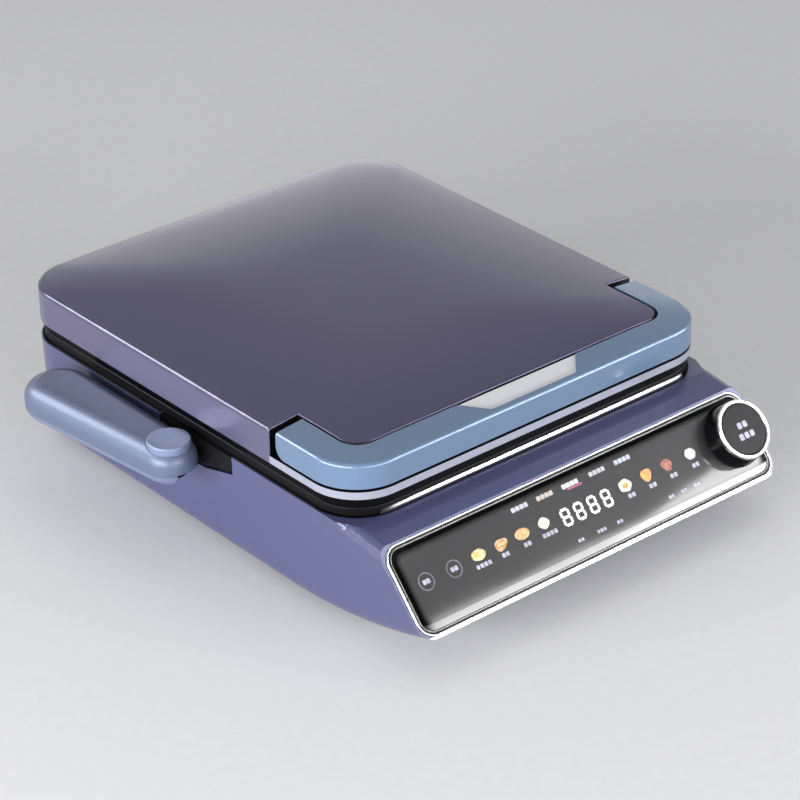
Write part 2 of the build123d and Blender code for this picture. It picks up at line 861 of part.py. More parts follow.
def handle_region(inset, z, height):
    """U-shaped plan that wraps the front of the lid, drawn in by inset at its sides."""
    rear = handle_rear_y - (handle_block if inset else 0)
    inner = handle_width - inset
    with BuildPart() as region:
        with BuildSketch(Plane.XY.offset(z)):
            add(outline(z, inset))
            with Locations((0, rear + lid_depth / 2)):
                Rectangle(lid_width, lid_depth, mode=Mode.SUBTRACT)
            with Locations((0, front_y + inner + lid_depth / 2)):
                RectangleRounded(
                    lid_width - 2 * inner, lid_depth, handle_inner_corner + inset, mode=Mode.SUBTRACT
                )
        extrude(amount=height)
    return region.part


def scoop_form(lowered):
    """Thumb scoop in the top of the handle: its floor falls to the front and is lowered as given."""
    scoop_rear_y = front_y + handle_width
    scoop_front_y = front_y + scoop_margin
    floor_rear_z = lid_edge_z + scoop_rear_rise - lowered
    floor_front_z = lid_edge_z - scoop_front_depth - lowered
    top_z = lid_edge_z + lid_crown
    with BuildPart() as scoop:
        with BuildSketch(Plane.YZ.offset(-lid_width / 2)):
            Polygon(
                (scoop_rear_y, floor_rear_z),
                (scoop_front_y, floor_front_z),
                (scoop_front_y, top_z),
                (scoop_rear_y, top_z),
                align=None,
            )
        extrude(amount=lid_width)
        with BuildSketch(Plane.XY.offset(handle_z)) as plan:
            Polygon(
                (-scoop_rear_half, scoop_rear_y),
                (-scoop_front_half, scoop_front_y),
                (scoop_front_half, scoop_front_y),
                (scoop_rear_half, scoop_rear_y),
                align=None,
            )
            fillet(plan.vertices().group_by(Axis.Y)[0], scoop_corner)
        extrude(amount=top_z - handle_z, mode=Mode.INTERSECT)
    return scoop.part


handle_crown = lid_edge_z + lid_crown - handle_z
pin_length = lid_side_x + handle_gap + handle_pin_depth - pin_start
with BuildPart() as front_handle_grip:
    add(lid_form(0))
    top_edges = front_handle_grip.edges().filter_by(lambda edge: abs(edge.center().Z - lid_edge_z) < seat_gap)
    fillet(top_edges, lid_rounding)
    add(handle_region(0, handle_z, handle_crown), mode=Mode.INTERSECT)
    rear_edges = front_handle_grip.edges().filter_by(Axis.X).group_by(Axis.Y)[-1]
    fillet(rear_edges.group_by(Axis.Z)[0], handle_end_rounding)
    hollow_height = handle_height - handle_roof
    add(handle_region(handle_wall, handle_z, hollow_height), mode=Mode.SUBTRACT)
    add(scoop_form(inlay_thickness), mode=Mode.SUBTRACT)
    add(across_pins(handle_pin_radius, pin_start, pin_length), mode=Mode.SUBTRACT)

with BuildPart() as front_handle_liner:
    add(handle_region(handle_wall, handle_z, handle_liner))

with BuildPart() as thumb_inlay:
    add(scoop_form(inlay_thickness))
    add(scoop_form(0), mode=Mode.SUBTRACT)

with BuildPart() as front_handle_pins:
    add(across_pins(handle_pin_radius, pin_start, pin_length))


# Hinge: two towers on the back, blocks that slide in them and a shaft that carries the lid


def along_x(y, z, radius, length):
    """Cylinder along X, centred on the middle of the lid, at the given place."""
    with BuildPart() as bar:
        with BuildSketch(Plane.YZ.offset(-length / 2)):
            with Locations((y, z)):
                Circle(radius)
        extrude(amount=length)
    return bar.part


tower_width = block_width + 2 * (slide_gap + tower_wall)
channel_depth = block_depth + 2 * slide_gap
channel_floor = hinge_height - block_height / 2
channel_top = channel_floor + block_height + float_travel + slide_gap
tower_depth = channel_depth + 2 * tower_wall
tower_back_y = hinge_y + tower_depth / 2
shaft_slot = (2 * (shaft_radius + slide_gap), float_travel + 2 * (shaft_radius + slide_gap))
shaft_slot_z = hinge_height + float_travel / 2
with BuildPart() as hinge_towers:
    for side in (-1, 1):
        tower_x = side * tower_spacing / 2
        low_top = hinge_height + tower_shoulder
        low_size = (tower_width, tower_back_y - rear_face_y)
        lower = block(tower_bottom, low_size, (tower_x, (tower_back_y + rear_face_y) / 2))
        extrude(lower, amount=low_top - tower_bottom)
        upper = block(low_top, (tower_width, tower_depth), (tower_x, hinge_y))
        extrude(upper, amount=channel_top + tower_roof - low_top)
    fillet(hinge_towers.edges().filter_by(Axis.X).group_by(Axis.Z)[-1], tower_rounding)
    fillet(hinge_towers.edges().filter_by(Axis.Z).group_by(Axis.Y)[-1], tower_rounding)
    for side in (-1, 1):
        channel = block(
            channel_floor, (block_width + 2 * slide_gap, channel_depth), (side * tower_spacing / 2, hinge_y)
        )
        extrude(channel, amount=channel_top - channel_floor, mode=Mode.SUBTRACT)
    with BuildSketch(Plane.YZ.offset(-tower_spacing / 2)):
        with Locations((hinge_y, shaft_slot_z)):
            SlotOverall(shaft_slot[1], shaft_slot[0], rotation=90)
    extrude(amount=tower_spacing, mode=Mode.SUBTRACT)
    with BuildSketch(Plane.XZ.offset(-tower_back_y)):
        with Locations(*tower_screw_places):
            Circle(screw_radius)
    extrude(amount=tower_back_y - rear_face_y, mode=Mode.SUBTRACT)
    with BuildSketch(Plane.XZ.offset(-tower_back_y)):
        with Locations(*tower_screw_places):
            Circle(screw_head_radius)
    extrude(amount=screw_head_height, mode=Mode.SUBTRACT)

with BuildPart() as tower_screws:
    with BuildSketch(Plane.XZ.offset(-tower_back_y)):
        with Locations(*tower_screw_places):
            Circle(screw_head_radius)
    extrude(amount=screw_head_height)
    with BuildSketch(Plane.XZ.offset(-tower_back_y)):
        with Locations(*tower_screw_places):
            Circle(screw_radius)
    extrude(amount=tower_back_y - rear_face_y + rear_pad_depth)


def slide_block(side):
    """Block that slides up and down in the tower on the given side and holds one end of the shaft."""
    with BuildPart() as body:
        plan = block(channel_floor, (block_width, block_depth), (side * tower_spacing / 2, hinge_y))
        extrude(plan, amount=block_height)
        add(along_x(hinge_y, hinge_height, shaft_radius, tower_spacing + block_width), mode=Mode.SUBTRACT)
    return body


slide_block_left = slide_block(-1)
slide_block_right = slide_block(1)
with BuildPart() as hinge_shaft:
    add(along_x(hinge_y, hinge_height, shaft_radius, tower_spacing + block_width))

with BuildPart() as lid_hinge_bracket:
    plate_centre = (0, hinge_plate_z + bracket_plate_height / 2)
    extrude(
        rear_sketch(rear_y + bracket_plate, (hinge_plate_width, bracket_plate_height), plate_centre),
        amount=bracket_plate,
    )
    for side in (-1, 1):
        with BuildSketch(Plane.YZ.offset(side * knuckle_spacing / 2 - knuckle_width / 2)):
            with Locations((rear_y + bracket_plate / 2, hinge_plate_z + bracket_plate_height / 2)):
                Rectangle(bracket_plate, bracket_plate_height)
            with Locations((hinge_y, hinge_height)):
                Circle(knuckle_radius)
            make_hull()
        extrude(amount=knuckle_width)
    add(along_x(hinge_y, hinge_height, shaft_radius + running_gap, hinge_plate_width), mode=Mode.SUBTRACT)
    with BuildSketch(Plane.XZ.offset(-rear_y - bracket_plate)):
        with Locations(*hinge_screws_at):
            Circle(screw_radius)
    extrude(amount=bracket_plate, mode=Mode.SUBTRACT)

with BuildPart() as hinge_screws:
    with BuildSketch(Plane.XZ.offset(-rear_y - bracket_plate - screw_head_height)):
        with Locations(*hinge_screws_at):
            Circle(screw_head_radius)
    extrude(amount=screw_head_height)
    with BuildSketch(Plane.XZ.offset(-rear_y - bracket_plate)):
        with Locations(*hinge_screws_at):
            Circle(screw_radius)
    extrude(amount=bracket_plate + shell_wall)


# Control panel, from the frame inwards
panel_axis = Axis(panel_plane.origin, panel_plane.z_dir)
glass_inset = frame_width + glass_gap
mask_inset = window_inset + seat_gap
mask_foot = -frame_seat - mask_thickness
plate_foot = mask_foot - carrier_plate
carrier_foot = plate_foot - carrier_depth
board_top = carrier_foot + carrier_wall + board_lift + board_thickness
dial_centre = (dial_x, dial_shift)
dial_place = [dial_centre]
with BuildPart() as panel_frame:
    ring = on_panel(-frame_seat, panel_width, panel_length, corner=panel_corner)
    extrude(ring, amount=frame_seat + frame_proud)
    fillet(panel_frame.edges().group_by(panel_axis)[-1], frame_rounding)
    opening = on_panel(
        -frame_seat,
        panel_width - 2 * frame_width,
        panel_length - 2 * frame_width,
        corner=panel_corner - frame_width,
    )
    extrude(opening, amount=frame_seat + frame_proud, mode=Mode.SUBTRACT)

with BuildPart() as panel_glass:
    face = on_panel(
        -frame_seat,
        panel_width - 2 * glass_inset,
        panel_length - 2 * glass_inset,
        corner=panel_corner - glass_inset,
    )
    extrude(face, amount=glass_thickness)
    hole = panel_discs(-frame_seat, glass_hole_radius, dial_place)
    extrude(hole, amount=glass_thickness, mode=Mode.SUBTRACT)

mask_size = (panel_width - 2 * mask_inset, panel_length - 2 * mask_inset)
with BuildPart() as light_mask:
    extrude(on_panel(mask_foot, *mask_size, corner=panel_corner - mask_inset), amount=mask_thickness)
    extrude(panel_discs(mask_foot, glass_hole_radius, dial_place), amount=mask_thickness, mode=Mode.SUBTRACT)

tray_centre = (0, tray_shift)
board_size = (tray_size[0] - 2 * (carrier_wall + board_gap), tray_size[1] - 2 * (carrier_wall + board_gap))
board_bosses = [(step * boss_pitch, tray_shift) for step in (-1, 0, 1)]
ribbon_place = (ribbon_x, tray_shift)
with BuildPart() as panel_carrier:
    extrude(on_panel(plate_foot, *mask_size, corner=panel_corner - mask_inset), amount=carrier_plate)
    tabs = on_panel(plate_foot, mask_size[0] + 2 * (carrier_tab + seat_gap), carrier_tab_length)
    extrude(tabs, amount=carrier_plate)
    extrude(on_panel(carrier_foot, *tray_size, centre=tray_centre), amount=carrier_depth)
    pocket = on_panel(
        carrier_foot + carrier_wall,
        tray_size[0] - 2 * carrier_wall,
        tray_size[1] - 2 * carrier_wall,
        tray_centre,
    )
    extrude(pocket, amount=carrier_depth + carrier_plate, mode=Mode.SUBTRACT)
    extrude(panel_discs(carrier_foot + carrier_wall, boss_radius, board_bosses), amount=board_lift)
    extrude(
        on_panel(carrier_foot, ribbon_width + 2 * board_gap, 2 * board_gap + ribbon_thickness, ribbon_place),
        amount=carrier_wall,
        mode=Mode.SUBTRACT,
    )

with BuildPart() as touch_board:
    extrude(on_panel(board_top - board_thickness, *board_size, centre=tray_centre), amount=board_thickness)

with BuildPart() as display_module:
    display = on_panel(board_top, *display_size, centre=(display_x, display_shift))
    extrude(display, amount=mask_foot - board_top)

icon_places = [
    (start + step * icon_pitch, icon_shift)
    for start in (icon_left_start, icon_right_start)
    for step in range(icon_count)
]
with BuildPart() as board_lights:
    with BuildSketch(panel_plane.offset(board_top)):
        with Locations(*icon_places):
            Rectangle(led_size, led_size)
    extrude(amount=led_height)

with BuildPart() as touch_pads:
    pad_places = [(touch_start + step * touch_pitch, icon_shift) for step in (0, 1)]
    extrude(panel_discs(board_top, touch_pad_radius, pad_places), amount=mask_foot - board_top)

with BuildPart() as encoder:
    housing = on_panel(board_top, encoder_size, encoder_size, dial_centre)
    extrude(housing, amount=mask_foot - encoder_gap - board_top)
    bore = panel_discs(board_top, hub_radius + running_gap, dial_place)
    extrude(bore, amount=mask_foot - board_top, mode=Mode.SUBTRACT)

with BuildPart() as button_switch:
    extrude(on_panel(board_top, switch_size, switch_size, dial_centre), amount=switch_height)


# Dial with the start button in its middle
glass_top = glass_thickness - frame_seat
collar_top = glass_top + collar_height
dial_foot = collar_top + dial_lift
dial_top = dial_foot + dial_height
ring_foot = dial_top - dial_ring_height
web_foot = dial_foot + dial_web_bottom
ring_bore = dial_top_radius - dial_ring_width
hub_foot = board_top + hub_end_gap
button_top = dial_top - button_sink
button_foot = button_top - button_thickness
stem_foot = board_top + switch_height + button_travel
dial_section = Plane(
    origin=panel_plane.from_local_coords((dial_x, dial_shift, 0)),
    x_dir=(1, 0, 0),
    z_dir=(0, -cos(tilt), -sin(tilt)),
)


def turned(*corners):
    """Solid turned about the axis of the dial, from corners given as (radius, height)."""
    with BuildPart() as body:
        with BuildSketch(dial_section):
            Polygon(*corners, align=None)
        revolve(axis=Axis(dial_section.origin, panel_plane.z_dir))
    return body.part


with BuildPart() as dial_collar:
    extrude(panel_discs(glass_top, collar_radius, dial_place), amount=collar_height)
    extrude(panel_discs(glass_top, glass_hole_radius, dial_place), amount=collar_height, mode=Mode.SUBTRACT)

with BuildPart() as dial_skirt:
    add(
        turned(
            (hub_bore_radius, hub_foot),
            (hub_radius, hub_foot),
            (hub_radius, web_foot),
            (dial_foot_radius - dial_rim_wall, web_foot),
            (dial_foot_radius - dial_rim_wall, dial_foot),
            (dial_foot_radius, dial_foot),
            (dial_top_radius, ring_foot),
            (ring_bore, ring_foot),
            (ring_bore, web_foot + dial_web),
            (hub_bore_radius, web_foot + dial_web),
        )
    )

with BuildPart() as dial_ring:
    extrude(panel_discs(ring_foot, dial_top_radius, dial_place), amount=dial_ring_height)
    extrude(panel_discs(ring_foot, ring_bore, dial_place), amount=dial_ring_height, mode=Mode.SUBTRACT)
    fillet(dial_ring.edges().group_by(panel_axis)[-1], ring_rounding)

with BuildPart() as start_button:
    add(
        turned(
            (0, stem_foot),
            (stem_radius, stem_foot),
            (stem_radius, button_foot),
            (button_radius, button_foot),
            (button_radius, button_top),
            (0, button_top),
        )
    )
    fillet(start_button.edges().group_by(panel_axis)[-1], frame_rounding)


# Power board, inlet and wiring
board_z = cover_top + post_height
parts_z = board_z + power_board_thickness
rear_row_y = power_board_y + power_board_size[1] / 2 - terminal_size[1]
front_row_y = power_board_y - post_margin
with BuildPart() as power_board:
    extrude(block(board_z, power_board_size, (0, power_board_y)), amount=power_board_thickness)

with BuildPart() as board_parts:
    extrude(block(parts_z, transformer_size[:2], (-part_spacing, front_row_y)), amount=transformer_size[2])
    for step in (0, 1):
        extrude(block(parts_z, relay_size[:2], (step * part_spacing, front_row_y)), amount=relay_size[2])
    extrude(block(parts_z, terminal_size[:2], (0, rear_row_y)), amount=terminal_size[2])
    capacitor_places = [(side * part_spacing, rear_row_y) for side in (-1, 1)]
    extrude(discs(parts_z, capacitor_radius, capacitor_places), amount=capacitor_height)

with BuildPart() as power_inlet:
    flange = (inlet_size[0] + 2 * inlet_flange, inlet_size[1] + 2 * inlet_flange)
    flange_y = rear_face_y + inlet_flange_thickness
    extrude(rear_sketch(flange_y, flange, (0, inlet_z)), amount=inlet_flange_thickness)
    extrude(rear_sketch(rear_face_y, inlet_size, (0, inlet_z)), amount=inlet_depth)
    socket = (inlet_size[0] - 2 * inlet_wall, inlet_size[1] - 2 * inlet_wall)
    socket_depth = inlet_flange_thickness + inlet_depth - inlet_wall
    extrude(rear_sketch(flange_y, socket, (0, inlet_z)), amount=socket_depth, mode=Mode.SUBTRACT)

with BuildPart() as inlet_pins:
    with BuildSketch(Plane.XZ.offset(inlet_pin_recess - flange_y)):
        with GridLocations(inlet_pin_spacing, 0, 3, 1):
            with Locations((0, inlet_z)):
                Circle(inlet_pin_radius)
    extrude(amount=socket_depth - inlet_pin_recess)

lead_z = inlet_z - lead_drop
with BuildPart() as supply_leads:
    for step in (-1, 0, 1):
        with BuildLine() as lead:
            FilletPolyline(
                (step * lead_spacing, rear_face_y - inlet_depth, lead_z),
                (step * lead_spacing, rear_row_y, lead_z),
                (step * lead_spacing, rear_row_y, parts_z + terminal_size[2]),
                radius=lead_bend,
            )
        with BuildSketch(Plane(origin=lead.line @ 0, z_dir=lead.line % 0)):
            Circle(lead_radius)
        sweep(path=lead.line)

ribbon_start = panel_plane.from_local_coords((ribbon_x, tray_shift, board_top - board_thickness))
ribbon_turn = panel_plane.from_local_coords((ribbon_x, tray_shift, carrier_foot - ribbon_bend))
ribbon_end_y = power_board_y - power_board_size[1] / 2 + ribbon_bend / 2
with BuildPart() as panel_ribbon:
    with BuildSketch(Plane.YZ.offset(ribbon_x - ribbon_width / 2)):
        with BuildLine() as strip:
            FilletPolyline(
                (ribbon_start.Y, ribbon_start.Z),
                (ribbon_turn.Y, ribbon_turn.Z),
                (ribbon_end_y, ribbon_turn.Z),
                (ribbon_end_y, parts_z + ribbon_thickness / 2),
                radius=ribbon_bend / 2,
            )
        trace(line_width=ribbon_thickness)
    extrude(amount=ribbon_width)
    extrude(
        block(parts_z, (ribbon_width, ribbon_bend), (ribbon_x, ribbon_end_y)), amount=ribbon_thickness * 2
    )


sub_parts = {
    "base_shell": base_shell,
    "bottom_cover": bottom_cover,
    "bottom_screws": bottom_screws,
    "rubber_feet": rubber_feet,
    "cavity_rim": cavity_rim,
    "front_trim": front_trim,
    "lower_pan": lower_pan,
    "pan_bracket": pan_bracket,
    "lower_tray": lower_tray,
    "lower_element": lower_element,
    "element_clips": element_clips,
    "thermostat_cup": thermostat_cup,
    "thermostat_cap": thermostat_cap,
    "thermostat_spring": thermostat_spring,
    "thermal_fuse": thermal_fuse,
    "grip_upper": grip_upper,
    "grip_lower": grip_lower,
    "grip_pin": grip_pin,
    "release_button": release_button,
    "release_spring": release_spring,
    "lid_shell": lid_shell,
    "lid_frame": lid_frame,
    "upper_plate": upper_plate,
    "plate_rim": plate_rim,
    "plate_screws": plate_screws,
    "upper_element": upper_element,
    "upper_sensor": upper_sensor,
    "upper_reflector": upper_reflector,
    "insulation_pad": insulation_pad,
    "front_handle_grip": front_handle_grip,
    "front_handle_liner": front_handle_liner,
    "thumb_inlay": thumb_inlay,
    "front_handle_pins": front_handle_pins,
    "hinge_towers": hinge_towers,
    "tower_screws": tower_screws,
    "slide_block_left": slide_block_left,
    "slide_block_right": slide_block_right,
    "hinge_shaft": hinge_shaft,
    "lid_hinge_bracket": lid_hinge_bracket,
    "hinge_screws": hinge_screws,
    "panel_frame": panel_frame,
    "panel_glass": panel_glass,
    "light_mask": light_mask,
    "panel_carrier": panel_carrier,
    "touch_board": touch_board,
    "display_module": display_module,
    "board_lights": board_lights,
    "touch_pads": touch_pads,
    "encoder": encoder,
    "button_switch": button_switch,
    "dial_collar": dial_collar,
    "dial_skirt": dial_skirt,
    "dial_ring": dial_ring,
    "start_button": start_button,
    "power_board": power_board,
    "board_parts": board_parts,
    "power_inlet": power_inlet,
    "inlet_pins": inlet_pins,
    "supply_leads": supply_leads,
    "panel_ribbon": panel_ribbon,
}
for name, builder in sub_parts.items():
    builder.part.label = name
    export_step(builder.part, f"parts/{name}.step")
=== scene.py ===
# %% [markdown]
# # A clamshell griddle, dressed for the studio
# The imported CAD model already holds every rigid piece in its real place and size.
# This lesson gives each piece its finish, adds the printed marks of the control panel,
# and lights the whole on a pale floor. All lengths are in metres.
# A fixed frame is loaded first, because every later piece is placed against it.

# %% Load the frame
import json
from math import cos, pi, radians, sin

import bpy
import numpy as np
from mathutils import Matrix, Vector


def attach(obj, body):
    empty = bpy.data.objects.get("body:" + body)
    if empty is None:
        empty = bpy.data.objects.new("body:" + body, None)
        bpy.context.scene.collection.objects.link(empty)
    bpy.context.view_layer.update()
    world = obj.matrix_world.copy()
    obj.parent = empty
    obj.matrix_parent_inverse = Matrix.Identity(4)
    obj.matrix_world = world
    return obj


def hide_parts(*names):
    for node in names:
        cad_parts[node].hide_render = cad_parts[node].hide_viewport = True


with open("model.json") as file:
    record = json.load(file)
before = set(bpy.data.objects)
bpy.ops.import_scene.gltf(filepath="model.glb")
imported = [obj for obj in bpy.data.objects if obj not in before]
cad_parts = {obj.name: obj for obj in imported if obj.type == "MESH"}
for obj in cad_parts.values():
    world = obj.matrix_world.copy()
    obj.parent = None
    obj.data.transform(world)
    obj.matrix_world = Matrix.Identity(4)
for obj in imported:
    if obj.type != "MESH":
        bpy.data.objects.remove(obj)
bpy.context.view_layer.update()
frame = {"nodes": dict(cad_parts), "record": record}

nodes = frame["nodes"]
slot_of = {part["node"]: part["material_slot"] for part in frame["record"]["subparts"]}

# %% [markdown]
# ## Camera
# A product shot is taken from far away with a long lens, so that parallel edges stay nearly parallel.
# The camera could be aimed with a constraint, but a plain matrix is easier to read and to repeat:
# its columns are the directions to the right, up and back, and the place.

# %% Camera at the viewing angle
camera_azimuth = radians(-40.024)
camera_elevation = radians(29.366)
camera_roll = radians(-0.779)
camera_place = Vector((-1.2030, -1.4731, 1.1089))
lens_length = 140.4
farthest_seen = 50


def camera_axes(azimuth, elevation, roll):
    """Right, up and back of a camera.

    Back points from the object to the camera, and the roll turns the other two round it.
    """
    back = Vector((sin(azimuth) * cos(elevation), -cos(azimuth) * cos(elevation), sin(elevation)))
    level = Vector((0, 0, 1)).cross(back).normalized()
    upright = back.cross(level)
    right = cos(roll) * level + sin(roll) * upright
    up = -sin(roll) * level + cos(roll) * upright
    return right, up, back


camera = bpy.data.objects.new("camera", bpy.data.cameras.new("camera"))
bpy.context.scene.collection.objects.link(camera)
camera.data.lens = lens_length
camera.data.clip_end = farthest_seen
right, up, back = camera_axes(camera_azimuth, camera_elevation, camera_roll)
camera.matrix_world = Matrix.Translation(camera_place) @ Matrix((right, up, back)).transposed().to_4x4()
bpy.context.scene.camera = camera
bpy.context.scene.view_settings.view_transform = "Standard"
print("camera looks along", tuple(round(value, 3) for value in -back))

# %% [markdown]
# ## Helpers for node materials
# A finish is a small graph of shader nodes. Writing each one by hand would repeat the same lines,
# so a helper makes a node with its settings and links in one call.
# Patterns read Object coordinates, so they keep their size in metres on every piece.


# %% A node in one call
def set_inputs(tree, made, inputs):
    """Fills the inputs of a node: inputs is a list of (socket, value or output to link)."""
    for socket, value in inputs:
        if isinstance(value, bpy.types.NodeSocket):
            tree.links.new(value, made.inputs[socket])
        else:
            made.inputs[socket].default_value = value


def node(tree, kind, inputs=(), **settings):
    """Makes a shader node. Its settings come first, because they can change its sockets."""
    made = tree.nodes.new(kind)
    for name, value in settings.items():
        setattr(made, name, value)
    set_inputs(tree, made, inputs)
    return made


def new_material(name):
    """An empty material with its output and a Principled shader: returns (material, tree, shader)."""
    material = bpy.data.materials.new(name)
    material.use_nodes = True
    tree = material.node_tree
    tree.nodes.clear()
    shader = node(tree, "ShaderNodeBsdfPrincipled")
    node(tree, "ShaderNodeOutputMaterial", [("Surface", shader.outputs["BSDF"])])
    return material, tree, shader


# %% Places and patterns
def object_place(tree):
    """The Object coordinate of the point that is being shaded."""
    return node(tree, "ShaderNodeTexCoord").outputs["Object"]


def object_xyz(tree):
    """The x, y and z of that coordinate, each an output of its own."""
    return tuple(node(tree, "ShaderNodeSeparateXYZ", [(0, object_place(tree))]).outputs)


def noise(tree, place, scale, detail=2.0):
    """Smooth noise from 0 to 1, with the given number of features per metre."""
    sockets = [("Vector", place), ("Scale", scale), ("Detail", detail)]
    return node(tree, "ShaderNodeTexNoise", sockets).outputs["Fac"]


def remap(tree, value, low, high, out_low=0.0, out_high=1.0):
    """Straight-line change of a value from one range to another, clamped at its ends."""
    names = ("Value", "From Min", "From Max", "To Min", "To Max")
    sockets = zip(names, (value, low, high, out_low, out_high))
    return node(tree, "ShaderNodeMapRange", sockets).outputs["Result"]


def spread(tree, pattern, out_low=0.0, out_high=1.0):
    """Stretches a noise, which seldom leaves 0.3 to 0.7, over the whole of a range."""
    return remap(tree, pattern, 0.3, 0.7, out_low, out_high)


def between(tree, share, out_low, out_high):
    """The value that lies at a share from 0 to 1 of the way between two others."""
    return remap(tree, share, 0.0, 1.0, out_low, out_high)


def bump(tree, height, distance, strength):
    """Surface relief from a height, at most the given distance high."""
    sockets = [("Height", height), ("Distance", distance), ("Strength", strength)]
    return node(tree, "ShaderNodeBump", sockets).outputs["Normal"]


# %% Colours
def shade(colour, factor):
    """The same colour, lighter or darker."""
    return tuple(min(1.0, channel * factor) for channel in colour)


def blend_colours(tree, factor, first, second, how="MIX"):
    """Two colours laid over each other by a factor from 0 to 1, in the given blend mode."""
    sockets = [(0, factor)]
    for socket, colour in ((6, first), (7, second)):
        linked = isinstance(colour, bpy.types.NodeSocket)
        sockets.append((socket, colour if linked else (*colour, 1)))
    return node(tree, "ShaderNodeMix", sockets, data_type="RGBA", blend_type=how).outputs[2]


# %% Arithmetic on numbers and vectors
def maths(tree, operation, first, second=0.0):
    """One step of arithmetic on values or outputs."""
    return node(tree, "ShaderNodeMath", [(0, first), (1, second)], operation=operation).outputs[0]


def product(tree, first, *others):
    """All the values multiplied. Of tests, it is 1 where every one of them is 1."""
    for value in others:
        first = maths(tree, "MULTIPLY", first, value)
    return first


def vector_maths(tree, operation, *values):
    """One step of arithmetic on vectors: returns its node, because the result is a vector or a number."""
    return node(tree, "ShaderNodeVectorMath", list(enumerate(values)), operation=operation)


def arrow_length(tree, x, y):
    """Length of the arrow (x, y): the root of the sum of the two squares."""
    joined = node(tree, "ShaderNodeCombineXYZ", [("X", x), ("Y", y)])
    return vector_maths(tree, "LENGTH", joined.outputs[0]).outputs["Value"]


def beyond_rectangle(tree, x, y, half, corner):
    """Distance of a point from a rounded rectangle round the origin: below 0 inside it.

    How far |x| and |y| lie beyond the half sizes less the corner, joined into a length, less the corner.
    """
    past = []
    for value, size in zip((x, y), half):
        over = maths(tree, "SUBTRACT", maths(tree, "ABSOLUTE", value), size - corner)
        past.append(maths(tree, "MAXIMUM", over, 0.0))
    return maths(tree, "SUBTRACT", arrow_length(tree, *past), corner)


# %% [markdown]
# ## Metallic lacquer
# The lid, the base and the handles are moulded parts with a metallic lacquer: fine flakes under a clear
# coat. A flat colour would look like plastic. Three patterns are mixed in instead: flakes of a third of a
# millimetre that change colour and gloss a little, a slow drift of the colour, and a faint orange peel in
# the coat.

# %% Lacquers
flakes_per_metre = 2600
flake_contrast = 0.05
flake_gloss = 0.03
peel_per_metre = 420
peel_depth = 0.00002
drift_per_metre = 9
drift_share = 0.12


def lacquer(name, colour, metallic=0.3, roughness=0.31, coat=0.8):
    """Metallic lacquer: colour varies by a few percent with the flakes, and faintly over the whole piece."""
    material, tree, shader = new_material(name)
    place = object_place(tree)
    flake = node(tree, "ShaderNodeTexVoronoi", [("Vector", place), ("Scale", flakes_per_metre)])
    sparkle = remap(tree, flake.outputs["Color"], 0.0, 1.0)
    mixed = blend_colours(tree, sparkle, shade(colour, 1 - flake_contrast), shade(colour, 1 + flake_contrast))
    drift = spread(tree, noise(tree, place, drift_per_metre), 0.0, 0.25)
    aged = blend_colours(tree, drift, (0.5, 0.5, 0.5), (1.0, 1.0, 1.0))
    peel = noise(tree, place, peel_per_metre, detail=1.0)
    set_inputs(tree, shader, [
        ("Base Color", blend_colours(tree, drift_share, mixed, aged, "SOFT_LIGHT")),
        ("Roughness", between(tree, sparkle, roughness - flake_gloss, roughness + flake_gloss)),
        ("Normal", bump(tree, peel, peel_depth, 0.5)),
        ("Metallic", metallic),
        ("Coat Weight", coat),
        ("Coat Roughness", 0.10),
    ])
    return material


lacquer_looks = {
    "lid_lacquer": dict(colour=(0.073, 0.066, 0.134), coat=0.4),
    "body_lacquer": dict(colour=(0.066, 0.072, 0.162), metallic=0.1, coat=0.25),
    "front_handle_lacquer": dict(colour=(0.128, 0.195, 0.315), coat=0.4),
    "side_handle_plastic": dict(colour=(0.110, 0.136, 0.215), roughness=0.45, coat=0.1),
    "side_handle_underside": dict(colour=(0.17, 0.205, 0.32), roughness=0.48, coat=0.2),
    "release_button_plastic": dict(colour=(0.185, 0.230, 0.365), roughness=0.4, coat=0.3),
    "satin_metal": dict(colour=(0.80, 0.81, 0.84), metallic=0.5, roughness=0.3),
}
finishes = {name: lacquer(name, **look) for name, look in lacquer_looks.items()}
print("lacquers:", len(finishes))

# %% [markdown]
# The lid shell has a notch for the front handle. Its walls are painted black as painted shade: the black
# stands in for the shadow in the deep gap, which makes the dark line between the handle and the lid. A point
# belongs to the notch where it lies above the notch's floor, in front of its rear end, and not inside the
# rounded rectangle that the notch runs round. What lies below the floor there is the lip under the handle,
# which is silver.
# The crown is painted a shade darker and the walls lighter, as painted shade and painted light for the top
# being less lit than the walls; the crown also has less coat, so it is duller. The two tones meet in the
# rounding between them.

# %% Notch, lip and crown of the lid
notch_floor = 0.1004
notch_rear = -0.1004
notch_inner_half = (0.136, 0.1575)
notch_corner = 0.016
wall_skin = 0.00006
# Painted shade: the notch's walls are black where the deep gap would be in shadow.
notch_painted_shade = (0.004, 0.004, 0.005)
lip_silver = (0.32, 0.335, 0.41)
# Painted light on the walls and painted shade on the crown, as factors on the lacquer's colour.
wall_painted_light, crown_painted_shade = (1.36, 1.36, 1.25), (0.70, 0.68, 0.76)
wall_coat, crown_coat = 0.5, 0.12
tone_changes = (0.1165, 0.1195)
coat_changes = (0.1190, 0.1215)


def finish_so_far(name):
    """Node tree, shader and present colour of a finish that gets another layer."""
    tree = finishes[name].node_tree
    shader = tree.nodes["Principled BSDF"]
    return tree, shader, shader.inputs["Base Color"].links[0].from_socket


